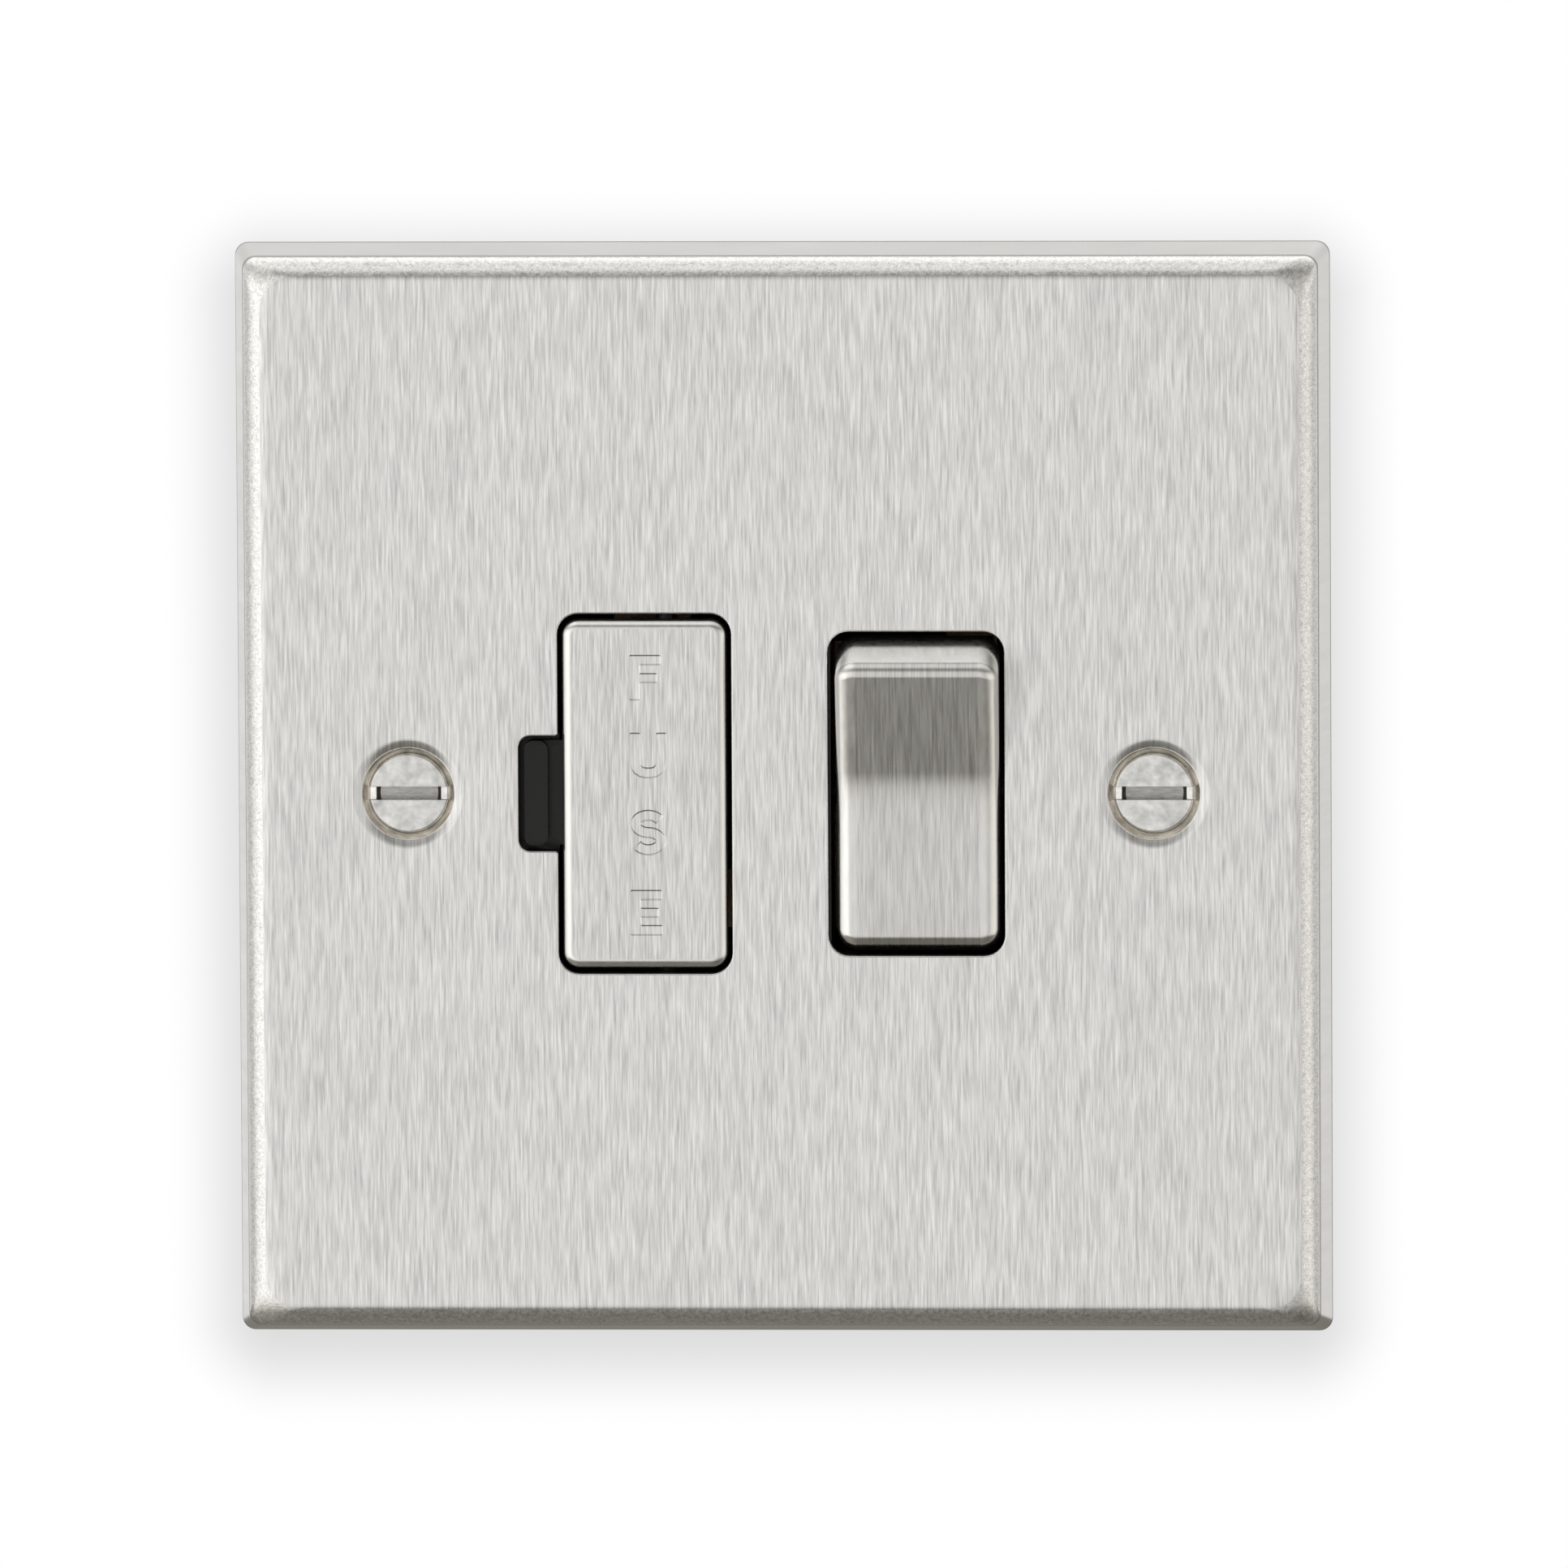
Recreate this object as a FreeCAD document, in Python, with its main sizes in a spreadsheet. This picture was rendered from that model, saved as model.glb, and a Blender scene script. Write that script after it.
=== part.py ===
import FreeCAD, Part
import math
import os
import re

import Sketcher

# Fused connection unit for a one gang wall box: a pressed metal faceplate with a
# rocker switch on the right and a swing-out fuse carrier on the left.
# Frame: +Z up the wall, +X to the right of someone facing the unit, front towards -Y.
# The plane Y = 0 is the wall, and the origin lies midway between the two fixing screws.

V = FreeCAD.Vector

# Lengths closer than this are the same when an edge is looked for.
NEAR = 0.001

SIZES = [
    # faceplate
    ("plate_width", 88.6, "faceplate across its rear rim"),
    ("plate_height", 88.6, "faceplate up its rear rim"),
    ("plate_projection", 6.0, "front face ahead of the wall"),
    ("wall_flare", 12.0, "side walls lean outwards to the rear, degrees"),
    ("sheet_thickness", 1.0, "pressed sheet"),
    ("face_round", 2.1, "rounding between face and side walls"),
    ("corner_round", 1.2, "rounding of the four upright corners"),
    ("opening_corner", 1.7, "corner radius of both openings"),
    # fixing screws and their seats
    ("fixing_centres", 60.3, "distance between the two fixing screws"),
    ("screw_diameter", 3.5, "fixing screw thread"),
    ("screw_length", 25.0, "fixing screw from head seat to tip"),
    ("head_diameter", 6.5, "countersunk head"),
    ("head_rim", 0.22, "rim above the head's cone"),
    ("slot_width", 1.1, "screwdriver slot"),
    ("slot_depth", 1.1, "screwdriver slot"),
    ("seat_lip_diameter", 7.45, "mouth of the countersunk seat"),
    ("dimple_diameter", 8.9, "soft dimple pressed round the seat"),
    ("dimple_depth", 0.25, "soft dimple pressed round the seat"),
    ("screw_hole_diameter", 3.9, "clearance hole in the seat"),
    ("seat_wall", 0.75, "pressed wall of the seat"),
    # fuse opening and cap
    ("fuse_centre", 11.0, "fuse opening left of the middle"),
    ("fuse_opening_width", 14.05, "fuse opening"),
    ("carrier_end", 1.9, "fuse opening past each end of the fuse"),
    ("notch_reach", 3.2, "lever notch beside the fuse opening"),
    ("notch_height", 9.35, "lever notch"),
    ("notch_corner", 1.0, "lever notch corner radius"),
    ("cap_side_gap", 0.36, "fuse cap to opening, each side"),
    ("cap_end_gap", 0.45, "fuse cap to opening, each end"),
    ("cap_stand", 0.4, "fuse cap stands proud of the face"),
    ("cap_bevel", 0.44, "fuse cap edge bevel"),
    ("cap_depth", 1.4, "fuse cap skirt"),
    ("metal_skin", 0.6, "metal of both caps"),
    ("skin_gap", 0.03, "moulding inside a metal cap, each side"),
    # fuse carrier and fuse
    ("hinge_inset", 5.0, "carrier hinge from the cap's right edge"),
    ("hinge_depth", 2.4, "carrier hinge behind the front face"),
    ("hinge_pin_radius", 0.8, "carrier hinge pins"),
    ("hinge_pin_length", 0.85, "carrier hinge pins, into each bearing"),
    ("running_gap", 0.05, "every pin in its bearing, all round"),
    ("overrun", 1.0, "a cutter runs this far past the faces that it opens"),
    ("fuse_behind_hinge", 3.8, "fuse axis behind the hinge axis"),
    ("fuse_left_of_hinge", 2.0, "fuse axis left of the hinge axis"),
    ("fuse_length", 25.4, "cartridge fuse"),
    ("fuse_cap_radius", 3.17, "fuse end caps"),
    ("fuse_cap_length", 5.6, "fuse end caps"),
    ("fuse_cap_end", 0.32, "end wall of the fuse end caps"),
    ("fuse_tube_radius", 2.9, "ceramic tube"),
    ("cradle_gap", 0.08, "fuse in its cradle, all round"),
    ("cradle_wall", 0.75, "cradle round the fuse"),
    ("cradle_length", 13.0, "cradle along the fuse"),
    ("stop_thickness", 0.8, "end stops of the cradle"),
    ("tab_height", 8.5, "lever tab, up"),
    ("tab_end_gap", 0.45, "lever tab to the notch end"),
    ("tab_thickness", 0.9, "lever tab floor"),
    ("tab_pad", 1.9, "raised pad on the lever tab, across"),
    ("tab_pad_rise", 0.8, "raised pad on the lever tab"),
    ("tab_corner", 0.7, "corner radius of the lever tab and its recess"),
    ("tab_root", 2.0, "lever tab runs on into the head"),
    ("pin_root", 0.8, "hinge pins run on past the end stops"),
    # rocker
    ("rocker_opening_centre", 10.95, "rocker opening right of the middle"),
    ("rocker_opening_width", 14.25, "rocker opening"),
    ("rocker_opening_height", 26.3, "rocker opening"),
    ("rocker_centre", 11.1, "rocker right of the middle"),
    ("rocker_width", 13.2, "rocker across"),
    ("rocker_sweep", 13.1, "rocker ends, radius about the pivot"),
    ("rocker_pivot_depth", 4.5, "rocker pivot behind the front face"),
    ("rocker_face_height", 4.99, "valley of the rocker face ahead of the pivot"),
    ("rocker_tilt", 7.5, "rocker either side of its middle position, degrees"),
    ("rocker_valley", 20.0, "blend along the valley of the face"),
    ("rocker_bevel", 0.47, "rocker edge bevel"),
    ("rocker_skirt", 1.5, "metal skin ends this far ahead of the pivot"),
    ("rocker_tail", 1.2, "moulding ends this far behind the pivot"),
    ("rocker_wall", 1.2, "rocker moulding wall"),
    ("trunnion_radius", 1.2, "rocker trunnions"),
    ("trunnion_reach", 8.2, "trunnion end from the rocker's middle"),
    ("ear_radius", 2.3, "ears behind the trunnions"),
    # plungers and springs
    ("pole_spacing", 7.2, "between the two poles"),
    ("plunger_radius", 1.5, "plungers"),
    ("plunger_reach", 10.1, "plunger tip behind the pivot"),
    ("plunger_length", 6.7, "plungers"),
    ("plunger_flat", 0.5, "flat end of the plunger's coned tip"),
    ("guide_wall", 0.7, "plunger guide tube"),
    ("guide_reach", 5.2, "guide tube behind the pivot"),
    ("guide_floor", 2.6, "bottom of the guide bore ahead of the pivot"),
    ("spring_wire", 0.4, "plunger spring wire"),
    ("spring_radius", 1.1, "plunger spring, to the middle of its wire"),
    ("spring_turns", 4.0, "plunger spring"),
    ("spring_chords", 6.0, "chords in each turn of the plunger spring"),
    ("spring_sides", 4.0, "sides of the plunger spring's wire"),
    # contacts
    ("strip_thickness", 0.8, "all contact strips"),
    ("seesaw_width", 4.2, "moving contacts"),
    ("seesaw_half_length", 10.6, "moving contacts"),
    ("seesaw_corner", 0.9, "cut corners of the moving contacts"),
    ("seesaw_boss", 1.0, "round boss that the moving contact rocks on"),
    ("tip_gap", 0.05, "plunger tip to the moving contact at mid travel"),
    ("tip_half", 1.5, "silver contact tips, half their side"),
    ("tip_thickness", 0.6, "silver contact tips"),
    ("tip_place", 9.3, "silver tips from the pivot"),
    ("make_gap", 0.05, "between the tips of a closed contact"),
    ("support_width", 3.2, "contact supports"),
    ("support_half_height", 1.6, "post of the contact support"),
    ("support_clear", 0.4, "post ends behind the boss axis"),
    ("support_run", 1.4, "support strap behind the fixed contacts"),
    ("clip_gap", 0.1, "fuse contacts behind the fuse"),
    ("clip_thickness", 0.5, "fuse contacts"),
    ("clip_length", 4.8, "fuse contacts along the fuse"),
    ("clip_leg_turn", 30.0, "fuse contact legs round the fuse to the left, degrees"),
    ("clip_end_turn", 48.6, "fuse contacts end round the fuse to the right, degrees"),
    ("link_width", 2.2, "live link, upright run"),
    # terminals
    ("terminal_width", 7.2, "terminal blocks"),
    ("terminal_depth", 6.8, "terminal blocks, front to rear"),
    ("terminal_height", 7.0, "terminal blocks"),
    ("terminal_gap", 0.9, "terminal mouths to the housing's end walls"),
    ("wire_radius", 2.3, "wire bore"),
    ("wire_bore_length", 5.5, "wire bore"),
    ("wire_offset", 0.575, "wire bore ahead of the middle of its block"),
    ("column_neutral", 15.8, "neutral terminals, right of the middle"),
    ("column_live", 7.4, "supply live terminal, right of the middle"),
    ("column_earth", -1.9, "earth terminals, right of the middle"),
    ("column_load", -11.1, "load live terminal, right of the middle"),
    ("clamp_radius", 1.7, "terminal screws"),
    ("clamp_stand", 1.2, "terminal screws stand out of their blocks"),
    # insert and housing
    ("insert_gap", 0.05, "insert behind the sheet"),
    ("insert_thickness", 1.95, "insert flange"),
    ("passing_gap", 0.15, "between the insert or housing and a metal piece in it"),
    ("flange_reach", 5.5, "insert flange past the housing, up and down"),
    ("well_wall", 1.4, "walls of both wells"),
    ("fuse_well_gap", 0.42, "insert well to the fuse opening, right side"),
    ("rocker_well_gap", 0.5, "rocker to its well, each side"),
    ("rocker_end_gap", 0.4, "rocker ends to the well, each end"),
    ("well_rear", 1.5, "wells end behind the wall plane"),
    ("housing_half_width", 24.5, "rear housing"),
    ("housing_half_height", 28.5, "rear housing"),
    ("housing_rear", 17.5, "rear housing behind the wall plane"),
    ("housing_wall", 1.6, "rear housing"),
    ("housing_corner", 2.0, "rear housing upright corners"),
    ("post_inset", 3.1, "housing screws from the housing's outside"),
    ("post_half", 1.8, "corner posts round the housing screws"),
    ("housing_screw_radius", 1.05, "housing screws"),
    ("pilot_depth", 1.3, "pilot holes for the housing screws into the flange"),
    ("screw_bite", 1.0, "housing screws into the flange"),
    ("housing_head_radius", 1.8, "housing screw heads"),
    ("housing_head_height", 1.2, "housing screw heads"),
    ("entry_half", 2.7, "windows for each wire and its terminal screw"),
    # studs and earth clip
    ("stud_radius", 1.25, "weld studs behind the faceplate"),
    ("stud_x", 14.0, "weld studs"),
    ("stud_length", 4.2, "weld studs"),
    ("nut_across", 5.0, "stud nuts across flats"),
    ("nut_height", 1.6, "stud nuts"),
    ("earth_width", 5.0, "earth clip"),
    ("earth_foot", 3.6, "earth clip foot on the sheet"),
    ("earth_turn", 0.6, "earth clip turns forward past the housing"),
]

# Places that several pieces share, as formulas of the sizes above.
FACE = "(-plate_projection)"
SHEET_REAR = "(sheet_thickness - plate_projection)"
SEAT_MOUTH = "(dimple_depth - plate_projection)"
HEAD_TOP_CONE = f"({SEAT_MOUTH} + (seat_lip_diameter - head_diameter) / 2)"
INSERT_FRONT = f"({SHEET_REAR} + insert_gap)"
INSERT_REAR = f"({INSERT_FRONT} + insert_thickness)"
FUSE_OPENING_HALF = "(fuse_length / 2 + carrier_end)"
FUSE_RIGHT = "(fuse_opening_width / 2 - fuse_centre)"
FUSE_LEFT = "(-fuse_opening_width / 2 - fuse_centre)"
CAP_LEFT = f"({FUSE_LEFT} + cap_side_gap)"
CAP_RIGHT = f"({FUSE_RIGHT} - cap_side_gap)"
CAP_HALF_HEIGHT = f"({FUSE_OPENING_HALF} - cap_end_gap)"
CAP_FRONT = "(-plate_projection - cap_stand)"
HINGE_X = f"({CAP_RIGHT} - hinge_inset)"
HINGE_Y = "(hinge_depth - plate_projection)"
FUSE_X = f"({HINGE_X} - fuse_left_of_hinge)"
FUSE_Y = f"({HINGE_Y} + fuse_behind_hinge)"
FUSE_WELL_RIGHT = f"({FUSE_RIGHT} + fuse_well_gap)"
PIVOT_Y = "(rocker_pivot_depth - plate_projection)"
SEESAW_Y = (
    f"({PIVOT_Y} + plunger_reach + tip_gap + strip_thickness)"
)
POLE_LIVE = "(rocker_centre - pole_spacing / 2)"
POLE_NEUTRAL = "(rocker_centre + pole_spacing / 2)"
TIP_FRONT = (
    f"({SEESAW_Y} + tip_thickness * cos(rocker_tilt)"
    " + (tip_place + tip_half) * sin(rocker_tilt) + make_gap)"
)
FIXED_FRONT = f"({TIP_FRONT} + tip_thickness)"
FIXED_REAR = f"({FIXED_FRONT} + strip_thickness)"
STRAP_FRONT = f"({FIXED_FRONT} + support_run)"
STRAP_REAR = f"({STRAP_FRONT} + strip_thickness)"
FLOOR = "(housing_rear - housing_wall)"
TERMINAL_FRONT = f"({FLOOR} - terminal_depth)"
WIRE_Y = f"({FLOOR} - terminal_depth / 2 - wire_offset)"
TERMINAL_OUTER = "(housing_half_height - housing_wall - terminal_gap)"
TERMINAL_INNER = f"({TERMINAL_OUTER} - terminal_height)"
CLAMP_Z = f"({TERMINAL_OUTER} - wire_bore_length / 2)"
INSERT_HALF_HEIGHT = "(housing_half_height + flange_reach)"
EARTH_TURN = "(housing_half_height + earth_turn)"
FUSE_HALF = "(fuse_length / 2)"

TERMINALS = {
    "supply_live": ("column_live", -1),
    "supply_neutral": ("column_neutral", -1),
    "supply_earth": ("column_earth", -1),
    "load_live": ("column_load", 1),
    "load_neutral": ("column_neutral", 1),
    "load_earth": ("column_earth", 1),
}

# The fasteners stand on the two diagonals, as places along X and Z.
POST_X = "(housing_half_width - post_inset)"
POST_Z = "(housing_half_height - post_inset)"
POSTS = [(f"-{POST_X}", POST_Z), (POST_X, f"-{POST_Z}")]
STUD_Z = "(housing_half_height + flange_reach / 2)"
STUDS = [("stud_x", STUD_Z), ("-stud_x", f"-{STUD_Z}")]

doc = FreeCAD.newDocument("fused_spur_unit")
sheet = doc.addObject("Spreadsheet::Sheet", "Sizes")
ALIASES = {alias for alias, value, note in SIZES}
pieces = []


def fill_sheet():
    """Write every size into the spreadsheet under its name."""
    for row, (alias, value, note) in enumerate(SIZES, start=1):
        sheet.set(f"A{row}", alias)
        sheet.set(f"B{row}", str(value))
        sheet.setAlias(f"B{row}", alias)
        sheet.set(f"C{row}", note)
    doc.recompute()


def formula(text):
    """Write a formula of size names as an expression on the sheet."""

    def in_sheet(match):
        word = match.group()
        return f"Sizes.{word}" if word in ALIASES else word

    return re.sub(r"[a-z][a-z_]*[a-z]", in_sheet, str(text))


def number(text):
    """The value of a formula, for a sketch's first draft of its points."""
    return float(sheet.evalExpression(formula(text)))


def bind(thing, **sizes):
    """Tie properties to formulas; a double underscore stands for a dot."""
    for name, text in sizes.items():
        thing.setExpression(name.replace("__", "."), formula(text))


def piece(thing, label):
    """Give a finished sub-part the name that its file takes."""
    thing.Label = label
    pieces.append(thing)
    return thing


# Solids from primitives

AXIS_TURN = {
    "X": FreeCAD.Rotation(V(0, 1, 0), 90),
    "Y": FreeCAD.Rotation(V(1, 0, 0), -90),
    "Z": FreeCAD.Rotation(),
}


def place(thing, x="0", y="0", z="0"):
    """Tie the place of a thing to formulas."""
    bind(thing, Placement__Base__x=x, Placement__Base__y=y, Placement__Base__z=z)


def block(name, x, y, z):
    """A box between pairs of low and high limits along X, Y and Z."""
    box = doc.addObject("Part::Box", name)
    bind(
        box,
        Length=f"({x[1]}) - ({x[0]})",
        Width=f"({y[1]}) - ({y[0]})",
        Height=f"({z[1]}) - ({z[0]})",
    )
    place(box, x[0], y[0], z[0])
    return box


def along(thing, axis, span, across):
    """Stand a round primitive along an axis, from the low end of its span."""
    thing.Placement = FreeCAD.Placement(V(0, 0, 0), AXIS_TURN[axis])
    if axis == "X":
        place(thing, span[0], across[0], across[1])
    elif axis == "Y":
        place(thing, across[0], span[0], across[1])
    else:
        place(thing, across[0], across[1], span[0])


def rod(name, axis, across, span, radius):
    """A cylinder along an axis, at its place across that axis, over its span."""
    cylinder = doc.addObject("Part::Cylinder", name)
    bind(cylinder, Radius=radius, Height=f"({span[1]}) - ({span[0]})")
    along(cylinder, axis, span, across)
    return cylinder


def taper(name, axis, across, span, first, last):
    """A cone frustum along an axis, with its first and last radius."""
    cone = doc.addObject("Part::Cone", name)
    bind(cone, Radius1=first, Radius2=last, Height=f"({span[1]}) - ({span[0]})")
    along(cone, axis, span, across)
    return cone


def joined(name, solids):
    """One solid from several that touch or overlap."""
    union = doc.addObject("Part::MultiFuse", name)
    union.Shapes = solids
    return union


def carried(name, solids):
    """Solids held together as one sub-part without being fused."""
    group = doc.addObject("Part::Compound", name)
    group.Links = solids
    return group


def shared(name, solids):
    """The solid that several have in common."""
    overlap = doc.addObject("Part::MultiCommon", name)
    overlap.Shapes = solids
    return overlap


def cut(name, base, tools):
    """A base with one or more solids taken out of it."""
    difference = doc.addObject("Part::Cut", name)
    difference.Base = base
    difference.Tool = tools[0] if len(tools) == 1 else joined(name + "Tools", tools)
    return difference


def eased(name, base, choose, kind="Part::Fillet"):
    """Round or bevel a solid's edges: choose gives an edge's size, or None."""
    doc.recompute()
    chosen = []
    for index, edge in enumerate(base.Shape.Edges, start=1):
        size = choose(edge)
        if size:
            chosen.append((index, size, size))
    easing = doc.addObject(kind, name)
    easing.Base = base
    easing.Edges = chosen
    return easing


# Sketches and bodies

PLANES = {"X": "YZ_Plane", "Y": "XZ_Plane", "Z": "XY_Plane"}


def new_body(name):
    """An empty body for sketched features."""
    return doc.addObject("PartDesign::Body", name)


def new_sketch(body, name, normal, offset="0"):
    """A sketch square to an axis, its plane at an offset along that axis."""
    sketch = body.newObject("Sketcher::SketchObject", name)
    role = PLANES[normal]
    plane = [part for part in body.Origin.OriginFeatures if part.Role == role][0]
    sketch.AttachmentSupport = [(plane, "")]
    sketch.MapMode = "FlatFace"
    # The plane square to Y looks along -Y, so its offset is counted backwards.
    bind(sketch, AttachmentOffset__Base__z=f"-({offset})" if normal == "Y" else offset)
    return sketch


def fix_point(sketch, line, end, x, y):
    """Hold one end of a line at a place given by two formulas."""
    for kind, text in (("DistanceX", x), ("DistanceY", y)):
        row = sketch.addConstraint(
            Sketcher.Constraint(kind, -1, 1, line, end, number(text))
        )
        sketch.setExpression(f"Constraints[{row}]", formula(text))


def draw_polygon(sketch, points):
    """A closed outline through points that are pairs of formulas."""
    corners = [V(number(x), number(y), 0) for x, y in points]
    count = len(corners)
    lines = [
        sketch.addGeometry(Part.LineSegment(corners[i], corners[(i + 1) % count]))
        for i in range(count)
    ]
    for i, line in enumerate(lines):
        following = lines[(i + 1) % count]
        sketch.addConstraint(Sketcher.Constraint("Coincident", line, 2, following, 1))
    for line, (x, y) in zip(lines, points):
        fix_point(sketch, line, 1, x, y)


def draw_rounded(sketch, x, y, radius):
    """A rectangle between pairs of limits, with round corners."""
    left, right = number(x[0]), number(x[1])
    low, high = number(y[0]), number(y[1])
    bend = number(radius)
    quarter = math.pi / 2
    corners = [
        (right - bend, low + bend, -quarter),
        (right - bend, high - bend, 0.0),
        (left + bend, high - bend, quarter),
        (left + bend, low + bend, 2 * quarter),
    ]
    sides = [
        (V(left + bend, low, 0), V(right - bend, low, 0)),
        (V(right, low + bend, 0), V(right, high - bend, 0)),
        (V(right - bend, high, 0), V(left + bend, high, 0)),
        (V(left, high - bend, 0), V(left, low + bend, 0)),
    ]
    drawn = []
    for (start, end), (cx, cy, angle) in zip(sides, corners):
        drawn.append(sketch.addGeometry(Part.LineSegment(start, end)))
        circle = Part.Circle(V(cx, cy, 0), V(0, 0, 1), bend)
        arc = Part.ArcOfCircle(circle, angle, angle + quarter)
        drawn.append(sketch.addGeometry(arc))
    for i, curve in enumerate(drawn):
        following = drawn[(i + 1) % len(drawn)]
        sketch.addConstraint(Sketcher.Constraint("Tangent", curve, 2, following, 1))
    for line, kind in zip(drawn[::2], ("Horizontal", "Vertical") * 2):
        sketch.addConstraint(Sketcher.Constraint(kind, line))
    for arc in drawn[3::2]:
        sketch.addConstraint(Sketcher.Constraint("Equal", drawn[1], arc))
    held = [
        ("DistanceY", drawn[0], y[0]),
        ("DistanceX", drawn[2], x[1]),
        ("DistanceY", drawn[4], y[1]),
        ("DistanceX", drawn[6], x[0]),
    ]
    for kind, line, text in held:
        row = sketch.addConstraint(
            Sketcher.Constraint(kind, -1, 1, line, 1, number(text))
        )
        sketch.setExpression(f"Constraints[{row}]", formula(text))
    row = sketch.addConstraint(Sketcher.Constraint("Radius", drawn[1], bend))
    sketch.setExpression(f"Constraints[{row}]", formula(radius))


def pad(body, name, sketch, length, symmetric=False):
    """Grow a sketch into a solid."""
    feature = body.newObject("PartDesign::Pad", name)
    feature.Profile = (sketch, [""])
    feature.SideType = "Symmetric" if symmetric else "One side"
    bind(feature, Length=length)
    return feature


def pocket(body, name, sketch, length, symmetric=False):
    """Cut a sketch out of a body."""
    feature = body.newObject("PartDesign::Pocket", name)
    feature.Profile = (sketch, [""])
    feature.SideType = "Symmetric" if symmetric else "One side"
    bind(feature, Length=length)
    return feature


def ease_edges(body, name, kind, size, choose):
    """Round or bevel the edges of a body that a test picks."""
    doc.recompute()
    tip = body.Tip
    edges = tip.Shape.Edges
    names = [f"Edge{i}" for i, edge in enumerate(edges, start=1) if choose(edge)]
    feature = body.newObject(kind, name)
    feature.Base = (tip, names)
    if kind == "PartDesign::Fillet":
        bind(feature, Radius=size)
    else:
        bind(feature, Size=size)
    return feature


def prism(name, normal, points, span):
    """A body padded from a polygon square to an axis, over a span of that axis."""
    body = new_body(name)
    low, high = span
    start = high if normal == "Y" else low
    sketch = new_sketch(body, name + "Outline", normal, start)
    draw_polygon(sketch, points)
    pad(body, name + "Pad", sketch, f"({high}) - ({low})")
    return body


def slab(name, x, y, z, radius):
    """A body with a rounded rectangle for its front, over a span of Y."""
    body = new_body(name)
    sketch = new_sketch(body, name + "Outline", "Y", y[1])
    draw_rounded(sketch, x, z, radius)
    pad(body, name + "Pad", sketch, f"({y[1]}) - ({y[0]})")
    return body


def either_side(text):
    """Limits at the same distance on both sides of zero."""
    return (f"-({text})", f"({text})")


def about(centre, half):
    """Limits at the same distance on both sides of a centre."""
    return (f"({centre}) - ({half})", f"({centre}) + ({half})")


# Faceplate

def flared_shell(name, inset):
    """The tray's form, flared to the rear, drawn in from its outside by an inset."""
    wedge = doc.addObject("Part::Wedge", name)
    half_x = f"plate_width / 2 - ({inset}) / cos(wall_flare)"
    half_z = f"plate_height / 2 - ({inset}) / cos(wall_flare)"
    depth = f"plate_projection - ({inset})"
    lean = f"({depth}) * tan(wall_flare)"
    bind(
        wedge,
        Xmin=f"-({half_x})",
        Xmax=half_x,
        Zmin=f"-({half_z})",
        Zmax=half_z,
        Ymin="0",
        Ymax=depth,
        X2min=f"{lean} - ({half_x})",
        X2max=f"{half_x} - {lean}",
        Z2min=f"{lean} - ({half_z})",
        Z2max=f"{half_z} - {lean}",
    )
    wedge.Placement = FreeCAD.Placement(V(0, 0, 0), FreeCAD.Rotation(V(0, 0, 1), 180))
    return wedge


def tray_edges(face, corner):
    """Choose the rim of the tray's face and its upright corners for easing."""

    def choose(edge):
        box = edge.BoundBox
        if box.YLength > NEAR:
            return corner
        return face if box.YMax < -NEAR else None

    return choose


def screw_seat(side, x):
    """Solid and cut of the pressed seat of one fixing screw."""
    name = f"Seat{side}"
    lip = "seat_lip_diameter / 2"
    hole = "screw_hole_diameter / 2"
    bottom = f"{SEAT_MOUTH} + {lip} - {hole}"
    # The seat is a cone of 45 degrees, so its wall spreads by a root of two.
    boss = taper(
        name + "Boss",
        "Y",
        (x, "0"),
        (SHEET_REAR, bottom),
        f"{hole} + seat_wall * sqrt(2) + {bottom} - {SHEET_REAR}",
        f"{hole} + seat_wall * sqrt(2)",
    )
    dimple = taper(
        name + "Dimple", "Y", (x, "0"), (FACE, SEAT_MOUTH), "dimple_diameter / 2", lip
    )
    cone = taper(name + "Cone", "Y", (x, "0"), (SEAT_MOUTH, bottom), lip, hole)
    bore = rod(name + "Bore", "Y", (x, "0"), (bottom, f"{bottom} + overrun"), hole)
    return boss, [dimple, cone, bore]


def opening_cutters():
    """The two openings and the lever notch, as solids to take out of the sheet."""
    depth = (f"{FACE} - overrun", f"{SHEET_REAR} + overrun")
    fuse = slab(
        "FuseOpening",
        about("-fuse_centre", "fuse_opening_width / 2"),
        depth,
        either_side(FUSE_OPENING_HALF),
        "opening_corner",
    )
    notch = slab(
        "LeverNotch",
        (f"{FUSE_LEFT} - notch_reach", f"{FUSE_LEFT} + 2 * notch_corner"),
        depth,
        either_side("notch_height / 2"),
        "notch_corner",
    )
    rocker = slab(
        "RockerOpening",
        about("rocker_opening_centre", "rocker_opening_width / 2"),
        depth,
        either_side("rocker_opening_height / 2"),
        "opening_corner",
    )
    return [fuse, notch, rocker]


def make_faceplate():
    """The pressed tray with its seats, openings and weld studs."""
    outside = eased(
        "TrayOutsideRound",
        flared_shell("TrayOutside", "0"),
        tray_edges(number("face_round"), number("corner_round")),
    )
    # A bevel inside the rounding keeps the sheet at its thickness there.
    bevel = number("(face_round - sheet_thickness) * (2 - sqrt(2))")
    inside = eased(
        "TrayInsideBevel",
        flared_shell("TrayInside", "sheet_thickness"),
        tray_edges(bevel, None),
        "Part::Chamfer",
    )
    tray = cut("Tray", outside, [inside])
    added = [tray]
    removed = opening_cutters()
    for side, x in (("Left", "-fixing_centres / 2"), ("Right", "fixing_centres / 2")):
        boss, cutters = screw_seat(side, x)
        added.append(boss)
        removed.extend(cutters)
    for place_on in STUDS:
        span = (SHEET_REAR, f"{SHEET_REAR} + stud_length")
        added.append(rod(f"Stud{len(added)}", "Y", place_on, span, "stud_radius"))
    piece(cut("Faceplate", joined("TraySolid", added), removed), "faceplate")


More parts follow.
